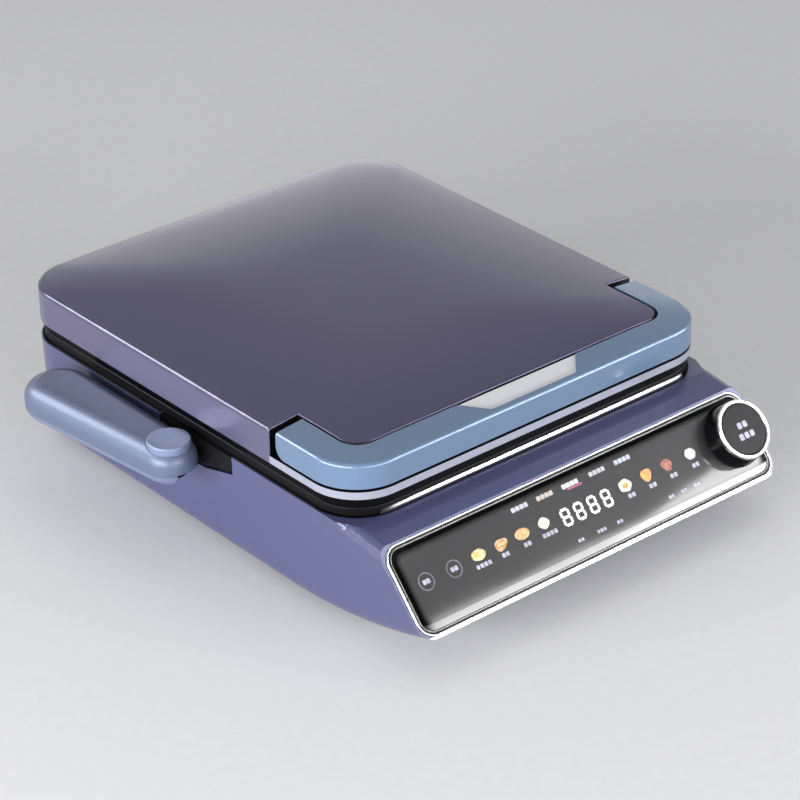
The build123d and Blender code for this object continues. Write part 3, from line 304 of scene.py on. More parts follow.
tree, shader, lacquered = finish_so_far("lid_lacquer")
x, y, z = object_xyz(tree)
beyond = beyond_rectangle(tree, x, y, notch_inner_half, notch_corner)
outside = maths(tree, "GREATER_THAN", beyond, -wall_skin)
in_front = product(tree, outside, maths(tree, "LESS_THAN", y, notch_rear))
in_notch = product(tree, in_front, maths(tree, "GREATER_THAN", z, notch_floor))
in_lip = product(tree, in_front, maths(tree, "SUBTRACT", 1.0, in_notch))
# Painted light and shade: the walls lighter and the crown darker, changing with height.
tone = blend_colours(tree, remap(tree, z, *tone_changes), wall_painted_light, crown_painted_shade)
graded = blend_colours(tree, 1.0, lacquered, tone, "MULTIPLY")
lipped = blend_colours(tree, in_lip, graded, lip_silver)
plain = maths(tree, "MAXIMUM", in_notch, remap(tree, z, *coat_changes))
# The notch's walls get their painted shade here: black in place of the lacquer.
set_inputs(tree, shader, [
    ("Base Color", blend_colours(tree, in_notch, lipped, notch_painted_shade)),
    ("Coat Weight", between(tree, plain, wall_coat, crown_coat)),
])
print("notch starts", round(notch_floor * 1000, 1), "mm above the standing surface")

# %% [markdown]
# ## Moulded plastic and rubber
# Parts that nobody is meant to look at have the grain of their mould. A fine noise bump gives that grain,
# and a slow change of roughness keeps large faces from looking like card.
# Each row of the table holds the colour, the roughness and the grains per metre, and where a finish is
# smoother than usual also the depth of its grain and its gloss.


# %% Plastics and rubber
def moulded(name, colour, roughness, grain, depth=0.00003, gloss=0.5):
    """Moulded part: the grain changes its colour a little, and its roughness drifts over centimetres."""
    material, tree, shader = new_material(name)
    place = object_place(tree)
    fine = noise(tree, place, grain, detail=3.0)
    slow = noise(tree, place, drift_per_metre * 2)
    set_inputs(tree, shader, [
        ("Base Color", blend_colours(tree, spread(tree, fine), shade(colour, 0.88), shade(colour, 1.12))),
        ("Roughness", spread(tree, slow, roughness - 0.05, roughness + 0.06)),
        ("Normal", bump(tree, fine, depth, 0.6)),
        ("Specular IOR Level", gloss),
    ])
    return material


moulded_looks = {
    "dark_plastic": ((0.007, 0.007, 0.008), 0.5, 900, 0.00003, 0.08),
    "band_black": ((0.002, 0.002, 0.003), 0.18, 60, 0.00001, 0.05),
    "dial_black": ((0.003, 0.003, 0.0035), 0.10, 60, 0.000004, 0.3),
    "foot_rubber": ((0.020, 0.020, 0.020), 0.75, 700),
    "ceramic": ((0.72, 0.70, 0.64), 0.7, 1200),
    "mineral_felt": ((0.62, 0.58, 0.46), 0.95, 300),
    "hinge_plastic": ((0.015, 0.015, 0.017), 0.48, 900),
    "slide_plastic": ((0.70, 0.70, 0.66), 0.45, 500),
    "mask_black": ((0.010, 0.010, 0.010), 0.5, 500),
    "carrier_plastic": ((0.50, 0.50, 0.48), 0.5, 700),
    "display_module": ((0.020, 0.020, 0.022), 0.3, 300),
    "light_body": ((0.80, 0.76, 0.55), 0.3, 300),
    "touch_foam": ((0.030, 0.030, 0.030), 0.9, 1500),
    "encoder_body": ((0.040, 0.042, 0.045), 0.45, 600),
    "inlet_plastic": ((0.012, 0.012, 0.013), 0.4, 700),
    "lead_sheath": ((0.30, 0.04, 0.03), 0.45, 500),
    "ribbon": ((0.62, 0.62, 0.60), 0.4, 400),
    "board_parts": ((0.030, 0.040, 0.080), 0.4, 500),
}
for name, look in moulded_looks.items():
    finishes[name] = moulded(name, *look)
print("moulded finishes:", len(moulded_looks))

# %% [markdown]
# ## Bare and plated metal
# Chrome has almost no colour of its own, so its detail is in its roughness: faint wipe marks and tiny pits.
# Rolled and ground metal shows lines along one direction, made by stretching a noise.
# The table gives colour, roughness, stretch and lines per metre.

# %% Metals
along_x, even = (0.05, 1, 1), (1, 1, 1)
line_depth = 0.000004


def lined_noise(tree, stretch, lines):
    """Noise that is drawn out along the axis whose scale is small."""
    scaled = node(tree, "ShaderNodeMapping", [("Vector", object_place(tree)), ("Scale", stretch)])
    return noise(tree, scaled.outputs["Vector"], lines, detail=4.0)


def metal(name, colour, roughness, stretch, lines):
    """Metal: a lined noise varies the roughness and lays fine lines into the surface."""
    material, tree, shader = new_material(name)
    grain = lined_noise(tree, stretch, lines)
    wiped = 0.35 * roughness
    set_inputs(tree, shader, [
        ("Base Color", blend_colours(tree, spread(tree, grain), shade(colour, 0.93), shade(colour, 1.05))),
        ("Roughness", spread(tree, grain, roughness - wiped, roughness + wiped)),
        ("Normal", bump(tree, grain, line_depth, 0.5)),
        ("Metallic", 1.0),
    ])
    return material


metal_looks = {
    "bright_trim": ((0.88, 0.88, 0.89), 0.20, along_x, 400),
    "panel_frame_chrome": ((0.80, 0.80, 0.81), 0.12, along_x, 400),
    "dial_chrome": ((0.92, 0.92, 0.93), 0.14, even, 500),
    "bright_steel": ((0.56, 0.56, 0.57), 0.22, even, 900),
    "screw_steel": ((0.32, 0.32, 0.33), 0.32, even, 900),
    "tray_metal": ((0.56, 0.57, 0.58), 0.34, along_x, 700),
    "element_sheath": ((0.12, 0.11, 0.10), 0.45, even, 500),
    "hinge_metal": ((0.03, 0.03, 0.032), 0.38, even, 700),
    "inlet_brass": ((0.60, 0.45, 0.20), 0.25, even, 900),
}
for name, look in metal_looks.items():
    finishes[name] = metal(name, *look)
print("metal finishes:", len(metal_looks))

# %% [markdown]
# The trim strip of the base is a bright line over a dark foot: its lower half is painted dark grey as painted
# shade. The bright line also fades into that painted shade towards its two ends.

# %% Painted shade on the trim's foot and ends
foot_top, bright_from = 0.0831, 0.0836
fade_from, fade_to = 0.108, 0.133
# Painted shade: the dark grey of the trim's foot and of its ends.
trim_foot_painted_shade = (0.035, 0.035, 0.04)
tree, shader, plated = finish_so_far("bright_trim")
x, _, z = object_xyz(tree)
before_ends = remap(tree, maths(tree, "ABSOLUTE", x), fade_from, fade_to, 1.0, 0.0)
# 1 where the trim keeps its bright metal, 0 where the painted shade covers it.
free_of_painted_shade = product(tree, remap(tree, z, foot_top, bright_from), before_ends)
set_inputs(tree, shader, [("Base Color", blend_colours(tree, free_of_painted_shade, trim_foot_painted_shade, plated))])
print("trim is bright from", round(bright_from * 1000, 1), "mm upwards")

# %% [markdown]
# ## Non-stick coating
# The plates carry a dark coating with mineral flecks. Sparse pale flecks come from the cells of a
# Voronoi pattern whose random value is high, and a fine bump gives the sprayed surface.
# The rim of the pan, which shows between lid and base, is plain and dull: flecks and gloss end below it.

# %% Coatings of the plates
flecks_per_metre = 420
spray_per_metre = 700
fleck_grey = (0.22, 0.22, 0.24)
pan_black, plate_black = (0.004, 0.004, 0.005), (0.024, 0.024, 0.026)
pan_rim = 0.0815


def coating(name, colour):
    """Sprayed coating: about one cell in seven of a Voronoi pattern becomes a pale fleck."""
    material, tree, shader = new_material(name)
    place = object_place(tree)
    cells = node(tree, "ShaderNodeTexVoronoi", [("Vector", place), ("Scale", flecks_per_metre)])
    chosen = remap(tree, cells.outputs["Color"], 0.74, 0.78)
    centre = remap(tree, cells.outputs["Distance"], 0.25, 0.40, 1.0, 0.0)
    spray = noise(tree, place, spray_per_metre, detail=3.0)
    set_inputs(tree, shader, [
        ("Base Color", blend_colours(tree, product(tree, chosen, centre), colour, fleck_grey)),
        ("Roughness", spread(tree, spray, 0.34, 0.46)),
        ("Normal", bump(tree, spray, 0.00003, 0.6)),
    ])
    return material


finishes["pan_coating"] = coating("pan_coating", pan_black)
finishes["plate_coating"] = coating("plate_coating", plate_black)
tree, shader, flecked = finish_so_far("pan_coating")
below_rim = maths(tree, "LESS_THAN", object_xyz(tree)[2], pan_rim)
set_inputs(tree, shader, [
    ("Base Color", blend_colours(tree, below_rim, pan_black, flecked)),
    ("Specular IOR Level", between(tree, below_rim, 0.1, 0.5)),
])
print("flecks of the pan end", round(pan_rim * 1000, 1), "mm above the standing surface")

# %% [markdown]
# ## Circuit boards
# Boards are hidden in use, but they show when the model is taken apart. A lacquer over copper tracks is
# a set of thin lines at a steady distance, and a noise decides where they stop. They show as raised.

# %% Boards
wave_scale = 1 / 0.012
breaks_per_metre = 60
lacquer_green, track_green = (0.012, 0.075, 0.030), (0.04, 0.16, 0.06)
green, tree, shader = new_material("board_green")
place = object_place(tree)
wave = node(tree, "ShaderNodeTexWave", [("Vector", place), ("Scale", wave_scale), ("Distortion", 3.0)])
line = remap(tree, wave.outputs["Fac"], 0.80, 0.88)
track = product(tree, line, remap(tree, noise(tree, place, breaks_per_metre), 0.48, 0.52))
set_inputs(tree, shader, [
    ("Base Color", blend_colours(tree, track, lacquer_green, track_green)),
    ("Normal", bump(tree, track, 0.00004, 0.5)),
    ("Roughness", 0.35),
])
finishes["board_green"] = green
print("finishes so far:", len(finishes))

# %% [markdown]
# ## The sloped panel
# Everything on the panel is placed in the panel's own directions: x to the right, s up the slope
# and h out of the face. One function turns arrays of those into points in space, and another finds
# them for the point that is being shaded.

# %% Directions of the panel
panel_tilt = radians(48)
panel_centre = np.array((0.0, -0.22708, 0.05348))
to_right = np.array((1.0, 0.0, 0.0))
up_slope = np.array((0.0, cos(panel_tilt), sin(panel_tilt)))
out_of_face = np.array((0.0, -sin(panel_tilt), cos(panel_tilt)))


def on_panel(x, s, h):
    """Points at x to the right, s up the slope and h out of the face, measured from the panel's centre."""
    x, s, h = (value[..., None] for value in np.broadcast_arrays(x, s, h))
    return panel_centre + x * to_right + s * up_slope + h * out_of_face


def panel_place(tree, origin=panel_centre):
    """Outputs x, s and h of the shaded point: its offset from the origin, times each direction."""
    offset = vector_maths(tree, "SUBTRACT", object_place(tree), tuple(origin)).outputs[0]
    return [
        vector_maths(tree, "DOT_PRODUCT", offset, tuple(way)).outputs["Value"]
        for way in (to_right, up_slope, out_of_face)
    ]


print("panel faces", tuple(round(value, 3) for value in out_of_face))

# %% [markdown]
# The glass is printed black on its back, with a charcoal field inside a deep black border.
# A mask could be painted, but a formula stays sharp at any size: the distance of a point from a
# rounded rectangle, worked out from Object coordinates. Only the field and the glass's lower edge are
# polished, and smears vary how sharply they mirror.

# %% Dark printed glass
field_half = (0.1495, 0.0245)
field_corner = 0.006
field_fades = (-0.0030, 0.0010)
border_black, field_charcoal = (0.002, 0.002, 0.002), (0.019, 0.0185, 0.020)
lower_edge_fades = (-0.0236, -0.0222)
smears_per_metre = 30
glass, tree, shader = new_material("panel_glass")
x, s, _ = panel_place(tree)
field = remap(tree, beyond_rectangle(tree, x, s, field_half, field_corner), *field_fades, 1.0, 0.0)
lower_edge = remap(tree, s, *lower_edge_fades, 1.0, 0.0)
smear = remap(tree, noise(tree, object_place(tree), smears_per_metre, detail=4.0), 0.35, 0.75)
set_inputs(tree, shader, [
    ("Base Color", blend_colours(tree, field, border_black, field_charcoal)),
    ("Specular IOR Level", between(tree, field, 0.0, 0.14)),
    ("Roughness", between(tree, smear, 0.38, 0.42)),
    ("Coat Weight", maths(tree, "MAXIMUM", between(tree, field, 0.04, 0.7), lower_edge)),
    ("Coat Roughness", between(tree, smear, 0.05, 0.08)),
])
finishes["panel_glass"] = glass
print("field of the glass:", [round(2000 * size) for size in field_half], "mm")

# %% [markdown]
# Below the frame a narrow strip of the base's face stays free. It is plated like the frame, so that the
# frame seems to run on to the edge. The strip is found by its place along the slope and by its height over
# the face.

# %% Plated strip of the base
strip_top = -0.0313
strip_depth = -0.0010
plate_colour = (0.80, 0.80, 0.81)
tree, shader, lacquered = finish_so_far("body_lacquer")
_, s, h = panel_place(tree)
strip = product(tree, maths(tree, "LESS_THAN", s, strip_top), maths(tree, "GREATER_THAN", h, strip_depth))
set_inputs(tree, shader, [
    ("Base Color", blend_colours(tree, strip, lacquered, plate_colour)),
    ("Metallic", between(tree, strip, lacquer_looks["body_lacquer"]["metallic"], 1.0)),
])
print("strip starts", round(-strip_top * 1000, 1), "mm below the panel's centre")

# %% [markdown]
# ## Start button
# The button in the middle of the dial has a fine turned grain: rings round the dial's axis.
# The rings are the sine of the distance to that axis, so they stay round although the face is sloped.

# %% Face of the start button
dial_x, dial_shift = 0.136, 0.0028
ripple_rate = 9000.0
turned_dark, turned_pale = (0.014, 0.014, 0.015), (0.022, 0.022, 0.024)
face, tree, shader = new_material("start_button_face")
x, s, _ = panel_place(tree, on_panel(dial_x, dial_shift, 0.0))
ripple = maths(tree, "SINE", maths(tree, "MULTIPLY", arrow_length(tree, x, s), ripple_rate))
set_inputs(tree, shader, [
    ("Base Color", blend_colours(tree, remap(tree, ripple, -1.0, 1.0), turned_dark, turned_pale)),
    ("Normal", bump(tree, ripple, 0.000004, 0.4)),
    ("Roughness", 0.34),
    ("Specular IOR Level", 0.08),
])
finishes["start_button_face"] = face
print("rings of the button are", round(2000 * pi / ripple_rate, 2), "mm apart")

# %% [markdown]
# ## Finishes go onto the CAD pieces
# The CAD meshes keep their shape. Each object's material slot gets the finish that the record names for it.

# %% Dress the CAD pieces
for name, piece in nodes.items():
    piece.data.materials.clear()
    piece.data.materials.append(finishes[slot_of[name]])
print("dressed:", len(nodes), "with", len(finishes), "finishes")

# %% [markdown]
# ## Low printed marks
# The marks on the glass are thin raised prints. Each is a closed low dome: an outline on the panel,
# drawn in towards its middle in a few rings while its height follows a flat-topped curve.
# A box with a bevel would need an edge loop for every shape; this one formula serves them all.

# %% A low dome over any outline
glass_height = 0.0005
print_height = 0.00012
ring_shares = np.array((1.0, 1.0, 0.93, 0.80, 0.45, 0.0))
ring_heights = np.array((0.0, 0.55, 0.90, 1.0, 1.0, 1.0))


def low_dome(name, outlines, height=print_height, base=glass_height):
    """Closed low domes over star-shaped outlines, all in one mesh.

    outlines has the shape (number, points, 2), each outline anticlockwise. Ring k is the outline drawn in
    to ring_shares[k] of its size about its middle, at ring_heights[k] of the full height. The last ring is
    the pole.
    """
    outlines = np.asarray(outlines, float)
    count, points, _ = outlines.shape
    middle = outlines.mean(axis=1, keepdims=True)
    rings = middle[:, None] + ring_shares[None, :, None, None] * (outlines - middle)[:, None]
    tall = np.broadcast_to(ring_heights[None, :, None] * height, rings.shape[:3])
    walls = on_panel(rings[..., 0], rings[..., 1], base + tall)[:, :-1]
    poles = on_panel(middle[:, 0, 0], middle[:, 0, 1], base + height)
    feet = on_panel(middle[:, 0, 0], middle[:, 0, 1], base)
    vertices = np.concatenate((walls.reshape(-1, 3), poles, feet))
    levels = len(ring_shares) - 1
    ring = np.arange(points)
    after = (ring + 1) % points
    start = np.arange(count)[:, None] * levels * points
    top = start + (levels - 1) * points
    low = start[:, :, None] + np.arange(levels - 1)[:, None] * points
    high = low + points
    sides = np.stack((low + ring, low + after, high + after, high + ring), -1).reshape(-1, 4)
    pole = np.broadcast_to(count * levels * points + np.arange(count)[:, None], (count, points))
    caps = np.stack((top + ring, top + after, pole), -1).reshape(-1, 3)
    soles = np.stack((start + after, start + ring, pole + count), -1).reshape(-1, 3)
    return make_mesh(name, vertices, sides.tolist() + caps.tolist() + soles.tolist())


def make_mesh(name, vertices, faces):
    """Smooth object at the origin whose mesh has the given points and faces."""
    mesh = bpy.data.meshes.new(name)
    mesh.from_pydata(vertices.tolist(), [], faces)
    mesh.validate()
    mesh.shade_smooth()
    made = bpy.data.objects.new(name, mesh)
    bpy.context.scene.collection.objects.link(made)
    return made


def finish_piece(piece, material, body):
    """Gives a new piece its finish and the body it rides on."""
    piece.data.materials.append(material)
    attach(piece, body)
    print(piece.name, "faces:", len(piece.data.polygons))


# %% [markdown]
# The prints glow a little on a real panel, because lamps shine through them. Emission would wash out
# their colour in the studio, so they are pale inks with only a trace of light of their own.


# %% Inks
def ink(name, colour, second=None, glow=0.0, patch=350):
    """Printed ink: the two colours meet in patches of a few millimetres, like shading in a small picture."""
    material, tree, shader = new_material(name)
    patches = remap(tree, noise(tree, object_place(tree), patch), 0.45, 0.55)
    mixed = blend_colours(tree, patches, colour, second or shade(colour, 0.85))
    set_inputs(tree, shader, [
        ("Base Color", mixed),
        ("Emission Color", mixed),
        ("Emission Strength", glow),
        ("Roughness", 0.45),
    ])
    return material


white_ink = ink("white_ink", (0.80, 0.80, 0.84), (0.72, 0.72, 0.78), glow=0.25)
grey_ink = ink("grey_ink", (0.42, 0.40, 0.50), (0.32, 0.30, 0.40), glow=0.05)
ring_ink = ink("ring_ink", (0.16, 0.155, 0.19), (0.12, 0.115, 0.15))
rose_ink = ink("rose_ink", (0.32, 0.05, 0.13), (0.26, 0.04, 0.11), glow=0.05)

# %% [markdown]
# ## Digits
# The display shows four digits, each of seven bars. A bar's outline is a flat hexagon with points at its
# ends. All the bars of all the digits are one array.

# %% Four seven-bar digits
digit_centres = np.array((-0.0174, -0.0057, 0.0063, 0.0184))
digit_height = 0.0104
digit_width = 0.0061
bar_width = 0.0019
digit_s = 0.0009


def bar_outline(start, end):
    """Hexagon along a line: its points lie at the ends and its sides half a bar's width away."""
    start, end = np.asarray(start, float), np.asarray(end, float)
    along = (end - start) / np.linalg.norm(end - start)
    side = np.array((-along[1], along[0])) * bar_width / 2
    short = along * bar_width * 0.45
    corners = (start, start + short - side, end - short - side, end, end - short + side, start + short + side)
    return np.array(corners)


half_w, half_h, gap = digit_width / 2, digit_height / 2, 0.0001
level_bars = [((-half_w + gap, y), (half_w - gap, y)) for y in (half_h, 0, -half_h)]
upright_bars = [((x, low + gap), (x, low + half_h - gap)) for low in (0, -half_h) for x in (-half_w, half_w)]
seven_bars = np.array([bar_outline(start, end) for start, end in level_bars + upright_bars])
all_bars = np.concatenate([seven_bars + np.array((x, digit_s)) for x in digit_centres])
digits = low_dome("display_digits", all_bars)
finish_piece(digits, white_ink, "base")

# %% [markdown]
# ## Pictures, rings and labels
# Small pictures beside the digits stand for dishes. They are generic shapes in warm and pale colours.
# A picture's outline is a circle whose radius is changed by a wave, which gives a disc, a bun or a cutlet.
# Each row of the table holds the centre, the radius, the flattening, the waves with their depth, the turn
# and the two colours, which are printed darker than the real thing.

# %% Pictures
picture_height = 0.0002
picture_shade = 0.7


def wavy_disc(centre, radius, squash=1.0, lobes=0, depth=0.0, turn_by=0.0, points=40):
    """Outline of a disc whose radius carries a wave, flattened by squash and then turned.

    The radius is the given one times 1 + depth times the cosine of lobes times the angle.
    """
    angle = np.linspace(0, 2 * pi, points, endpoint=False)
    reach = radius * (1 + depth * np.cos(lobes * angle))
    x, y = reach * np.cos(angle), reach * np.sin(angle) * squash
    across = x * cos(turn_by) - y * sin(turn_by)
    upwards = x * sin(turn_by) + y * cos(turn_by)
    return np.stack((centre[0] + across, centre[1] + upwards), -1)


pictures = {
    "pancake": ((-0.0920, 0.0032), 0.0056, 0.68, 5, 0.03, 0.0, (0.86, 0.55, 0.12), (0.94, 0.78, 0.42)),
    "wedge": ((-0.0730, 0.0030), 0.0054, 0.68, 3, 0.10, 0.3, (0.62, 0.22, 0.03), (0.90, 0.62, 0.34)),
    "bun": ((-0.0547, 0.0034), 0.0058, 0.66, 2, 0.03, 0.0, (0.80, 0.40, 0.10), (0.90, 0.62, 0.30)),
    "dumpling": ((-0.0357, 0.0037), 0.0045, 0.85, 4, 0.04, 0.0, (0.90, 0.88, 0.80), (0.84, 0.76, 0.60)),
    "egg": ((0.0364, 0.0032), 0.0054, 0.80, 5, 0.05, 0.0, (0.92, 0.84, 0.68), (0.94, 0.90, 0.80)),
    "prawn": ((0.0558, 0.0036), 0.0046, 0.92, 3, 0.10, 0.5, (0.78, 0.26, 0.03), (0.90, 0.48, 0.14)),
    "cutlet": ((0.0748, 0.0039), 0.0046, 0.90, 3, 0.08, 2.6, (0.22, 0.05, 0.03), (0.48, 0.16, 0.09)),
    "rice": ((0.0967, 0.0039), 0.0046, 0.85, 6, 0.03, 0.0, (0.80, 0.79, 0.80), (0.72, 0.70, 0.72)),
}
for dish, (*outline, first, second) in pictures.items():
    name = "picture_" + dish
    picture = low_dome(name, [wavy_disc(*outline)], picture_height)
    colours = shade(first, picture_shade), shade(second, picture_shade)
    finish_piece(picture, ink(name, *colours, glow=0.04, patch=500), "base")
yolk_centre, yolk_radius = (0.0362, 0.0030), 0.0022
yolk_outline = wavy_disc(yolk_centre, yolk_radius, squash=0.85)
yolk = low_dome("picture_yolk", [yolk_outline], picture_height, glass_height + picture_height)
finish_piece(yolk, ink("yolk_ink", (0.36, 0.22, 0.02), (0.46, 0.30, 0.04), glow=0.03), "base")

# %% [markdown]
# A touch field is marked by a thin ring. A ring is a profile carried round a circle: the profile here is a
# half ellipse, closed underneath, so that the ring has no open edge.

# %% Thin rings
touch_centres = [(-0.1362, 0.0020), (-0.1132, 0.0018)]
touch_radius = 0.0056
touch_line = 0.0008


def tube_faces(around, across):
    """Four-sided faces of a closed profile of across points that is carried once round in around steps."""
    step, row = np.arange(around)[:, None], np.arange(across)
    here, there, after = step * across, (step + 1) % around * across, (row + 1) % across
    return np.stack((here + after, there + after, there + row, here + row), -1).reshape(-1, 4)


def flat_rings(name, centres, radius, width, height, around=64, across=8):
    """Closed rings: a half ellipse of the given width and height, and its chord, carried round each centre.

    The rings have around steps, and across points on the half ellipse.
    """
    turn_angle = np.linspace(0, 2 * pi, around, endpoint=False)
    arc = np.linspace(0, pi, across)
    r = radius + np.cos(arc) * width / 2
    centres = np.asarray(centres, float)
    x = centres[:, None, None, 0] + np.cos(turn_angle)[None, :, None] * r
    s = centres[:, None, None, 1] + np.sin(turn_angle)[None, :, None] * r
    vertices = on_panel(x, s, glass_height + np.sin(arc) * height).reshape(-1, 3)
    faces = [tube_faces(around, across) + ring * around * across for ring in range(len(centres))]
    return make_mesh(name, vertices, np.concatenate(faces).tolist())


touch_rings = flat_rings("touch_rings", touch_centres, touch_radius, touch_line, print_height)
finish_piece(touch_rings, ring_ink, "base")

# %% [markdown]
# The labels are rows of small bars of about one size, so that the panel has the rhythm of a labelled one
# and says nothing in any language. Each row of the table holds places to the right, bars at each place,
# the height up the slope, and the pitch and the size of the bars.


# %% Labels of bars
def rounded_bar(centre, size, corner, points=24):
    """Outline of a rounded bar: a superellipse whose power grows as the corner shrinks."""
    angle = np.linspace(0, 2 * pi, points, endpoint=False) + pi / points
    power = 2 / (2 + 6 * (1 - corner))
    way = np.stack((np.cos(angle), np.sin(angle)), -1)
    return np.array(centre) + np.sign(way) * np.abs(way) ** power * np.array(size) / 2


def label_bars(centre, count, pitch, size):
    """Outlines of count bars in a row, in the middle of the given place."""
    offsets = (np.arange(count) - (count - 1) / 2) * pitch
    return [rounded_bar((centre[0] + x, centre[1]), size, corner=0.3) for x in offsets]


label_rows = (
    ((-0.0914, -0.0730, -0.0542, -0.0347), (4, 2, 2, 4), -0.0040, 0.0033, (0.0026, 0.0029)),
    ((0.0380, 0.0572, 0.0766, 0.0970), (2, 2, 2, 2), -0.0044, 0.0034, (0.0027, 0.0030)),
    ((-0.0149, 0.0034, 0.0197), (2, 3, 2), -0.0165, 0.0028, (0.0021, 0.0022)),
    ((0.0669, 0.0785, 0.0902), (2, 2, 2), -0.0165, 0.0028, (0.0021, 0.0022)),
)
touch_label = dict(count=2, pitch=0.0031, size=(0.0027, 0.0032))
bars = []
for places, counts, s, pitch, size in label_rows:
    for x, count in zip(places, counts):
        bars += label_bars((x, s), count, pitch, size)
for centre in touch_centres:
    bars += label_bars(centre, **touch_label)
finish_piece(low_dome("label_bars", bars), grey_ink, "base")

# %% [markdown]
# Five tinted labels stand over the display, the middle one underlined, and two rows of bars lie on the
# start button.

# %% Tinted labels and the start button's bars
top_labels = {
    "label_violet": (-0.0475, (0.46, 0.44, 0.54)),
    "label_tan": (-0.0256, (0.48, 0.42, 0.38)),
    "label_white": (-0.0033, (0.72, 0.68, 0.72)),
    "label_grey": (0.0206, (0.42, 0.42, 0.46)),
    "label_blue": (0.0434, (0.42, 0.46, 0.60)),
}
top_s = 0.0194
top_label = dict(count=4, pitch=0.0036, size=(0.0031, 0.0031))
for name, (x, colour) in top_labels.items():
    label = low_dome(name, label_bars((x, top_s), **top_label))
    finish_piece(label, ink(name, colour, glow=0.08), "base")
underline_centre, underline_size = (-0.0005, 0.0168), (0.0135, 0.0014)
underline = low_dome("label_underline", [rounded_bar(underline_centre, underline_size, corner=0.4)])
finish_piece(underline, rose_ink, "base")
button_height = 0.0149
start_rows = ((0.0060, 2), (-0.0016, 3))
start_label = dict(pitch=0.0048, size=(0.0037, 0.0044))
button_bars = []
for s, count in start_rows:
    button_bars += label_bars((dial_x, s), count, **start_label)
start_bars = low_dome("start_bars", button_bars, base=button_height)
finish_piece(start_bars, grey_ink, "start_button")

# %% [markdown]
# ## Frame of the panel
# The frame is two beads with a groove between them, the outer bead bright; the groove is painted black and
# the inner bead grey as painted shade, in place of dark reflections.
# It is one profile carried round a rounded rectangle: each corner is an arc whose radius shrinks as the
# profile moves inwards, and the straight runs appear by themselves between the arcs. A bevelled curve
# object would do the same, but not with a groove of another colour.

# %% Two beads and a groove
frame_half = (0.157, 0.0315)
frame_corner = 0.012
bead_profile = 0.001 * np.array(
    [(0, -1.5), (0, 0.3), (0.04, 0.55), (0.16, 0.8), (0.38, 0.96), (0.66, 1.0), (0.94, 0.92), (1.16, 0.7)]
    + [(1.26, 0.5), (1.34, 0.42), (1.9, 0.40), (2.3, 0.42), (2.38, 0.5), (2.5, 0.66), (2.7, 0.78)]
    + [(2.95, 0.82), (3.2, 0.76), (3.38, 0.6), (3.46, 0.4), (3.5, 0.2), (3.5, -1.5)]
)
groove_from, groove_to = 0.00122, 0.00242
# Painted shade: the black of the groove and the grey of the inner bead.
groove_painted_shade, inner_bead_painted_shade = (0.004, 0.004, 0.004), (0.16, 0.16, 0.16)
outer_dark, outer_pale = (0.76, 0.76, 0.77), (0.84, 0.84, 0.85)
frame_lines_per_metre = 400


def swept_frame(name, half, corner, profile, arc_points=20):
    """Closed profile (inwards, upwards) carried round a rounded rectangle of the given half sizes and corner.

    Each point also keeps how far inwards it lies, so that a finish can change across the frame.
    """
    quarter = np.linspace(0, pi / 2, arc_points)
    angle = np.concatenate([quarter + k * pi / 2 for k in range(4)])
    side = np.repeat([(1, 1), (-1, 1), (-1, -1), (1, -1)], arc_points, axis=0)
    radius = corner - profile[:, 0]
    x = side[:, None, 0] * (half[0] - corner) + np.cos(angle)[:, None] * radius
    s = side[:, None, 1] * (half[1] - corner) + np.sin(angle)[:, None] * radius
    vertices = on_panel(x, s, profile[:, 1]).reshape(-1, 3)
    made = make_mesh(name, vertices, tube_faces(*x.shape).tolist())
    inward = made.data.attributes.new("inward", "FLOAT", "POINT")
    inward.data.foreach_set("value", np.tile(profile[:, 0], len(angle)))
    return made


chrome, tree, shader = new_material("panel_frame_chrome")
grain = lined_noise(tree, along_x, frame_lines_per_metre)
inward = node(tree, "ShaderNodeAttribute", attribute_name="inward").outputs["Fac"]
past_start = maths(tree, "GREATER_THAN", inward, groove_from)
groove = product(tree, past_start, maths(tree, "LESS_THAN", inward, groove_to))
plated = blend_colours(tree, spread(tree, grain), outer_dark, outer_pale)
# The inner bead gets its painted shade, and below the groove gets its own.
plated = blend_colours(tree, maths(tree, "GREATER_THAN", inward, groove_to), plated, inner_bead_painted_shade)
set_inputs(tree, shader, [
    ("Base Color", blend_colours(tree, groove, plated, groove_painted_shade)),
    ("Metallic", between(tree, groove, 1.0, 0.0)),
    ("Roughness", spread(tree, grain, 0.08, 0.14)),
    ("Specular IOR Level", 0.2),
])
bright_frame = swept_frame("panel_frame_beads", frame_half, frame_corner, bead_profile)
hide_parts("panel_frame")
finish_piece(bright_frame, chrome, "base")

# %% [markdown]
# ## Floor
# The model stands on a plain pale floor. A plane with an edge would show a horizon, so the floor is a wide
# sheet that rises behind the object in a smooth curve: a quarter circle carried along a line.

# %% Floor and backdrop
floor_half = 3.0
curve_start = 1.8
curve_radius = 1.2
curve_steps = 24
backdrop_top = 3.2
paper_dark, paper_pale = (0.70, 0.70, 0.71), (0.72, 0.72, 0.73)
tooth_per_metre = 120
curve_angle = np.linspace(0, pi / 2, curve_steps)
bend = curve_start + curve_radius * np.sin(curve_angle)
run = np.concatenate(([-floor_half], bend, bend[-1:]))
rise = np.concatenate(([0.0], curve_radius * (1 - np.cos(curve_angle)), [backdrop_top]))
line_direction = np.array((-sin(camera_azimuth), cos(camera_azimuth)))
side_direction = np.array((line_direction[1], -line_direction[0]))
sides = np.array((-floor_half, floor_half))[:, None, None] * side_direction
heights = np.tile(rise[None, :, None], (2, 1, 1))
floor_points = np.concatenate((run[:, None] * line_direction + sides, heights), -1).reshape(-1, 3)
columns = len(run)
first = np.arange(columns - 1)
floor_faces = np.stack((first + columns, first + columns + 1, first + 1, first), -1).tolist()
floor = make_mesh("studio_floor", floor_points, floor_faces)
paper, tree, shader = new_material("studio_paper")
tooth = spread(tree, noise(tree, object_place(tree), tooth_per_metre, detail=3.0))
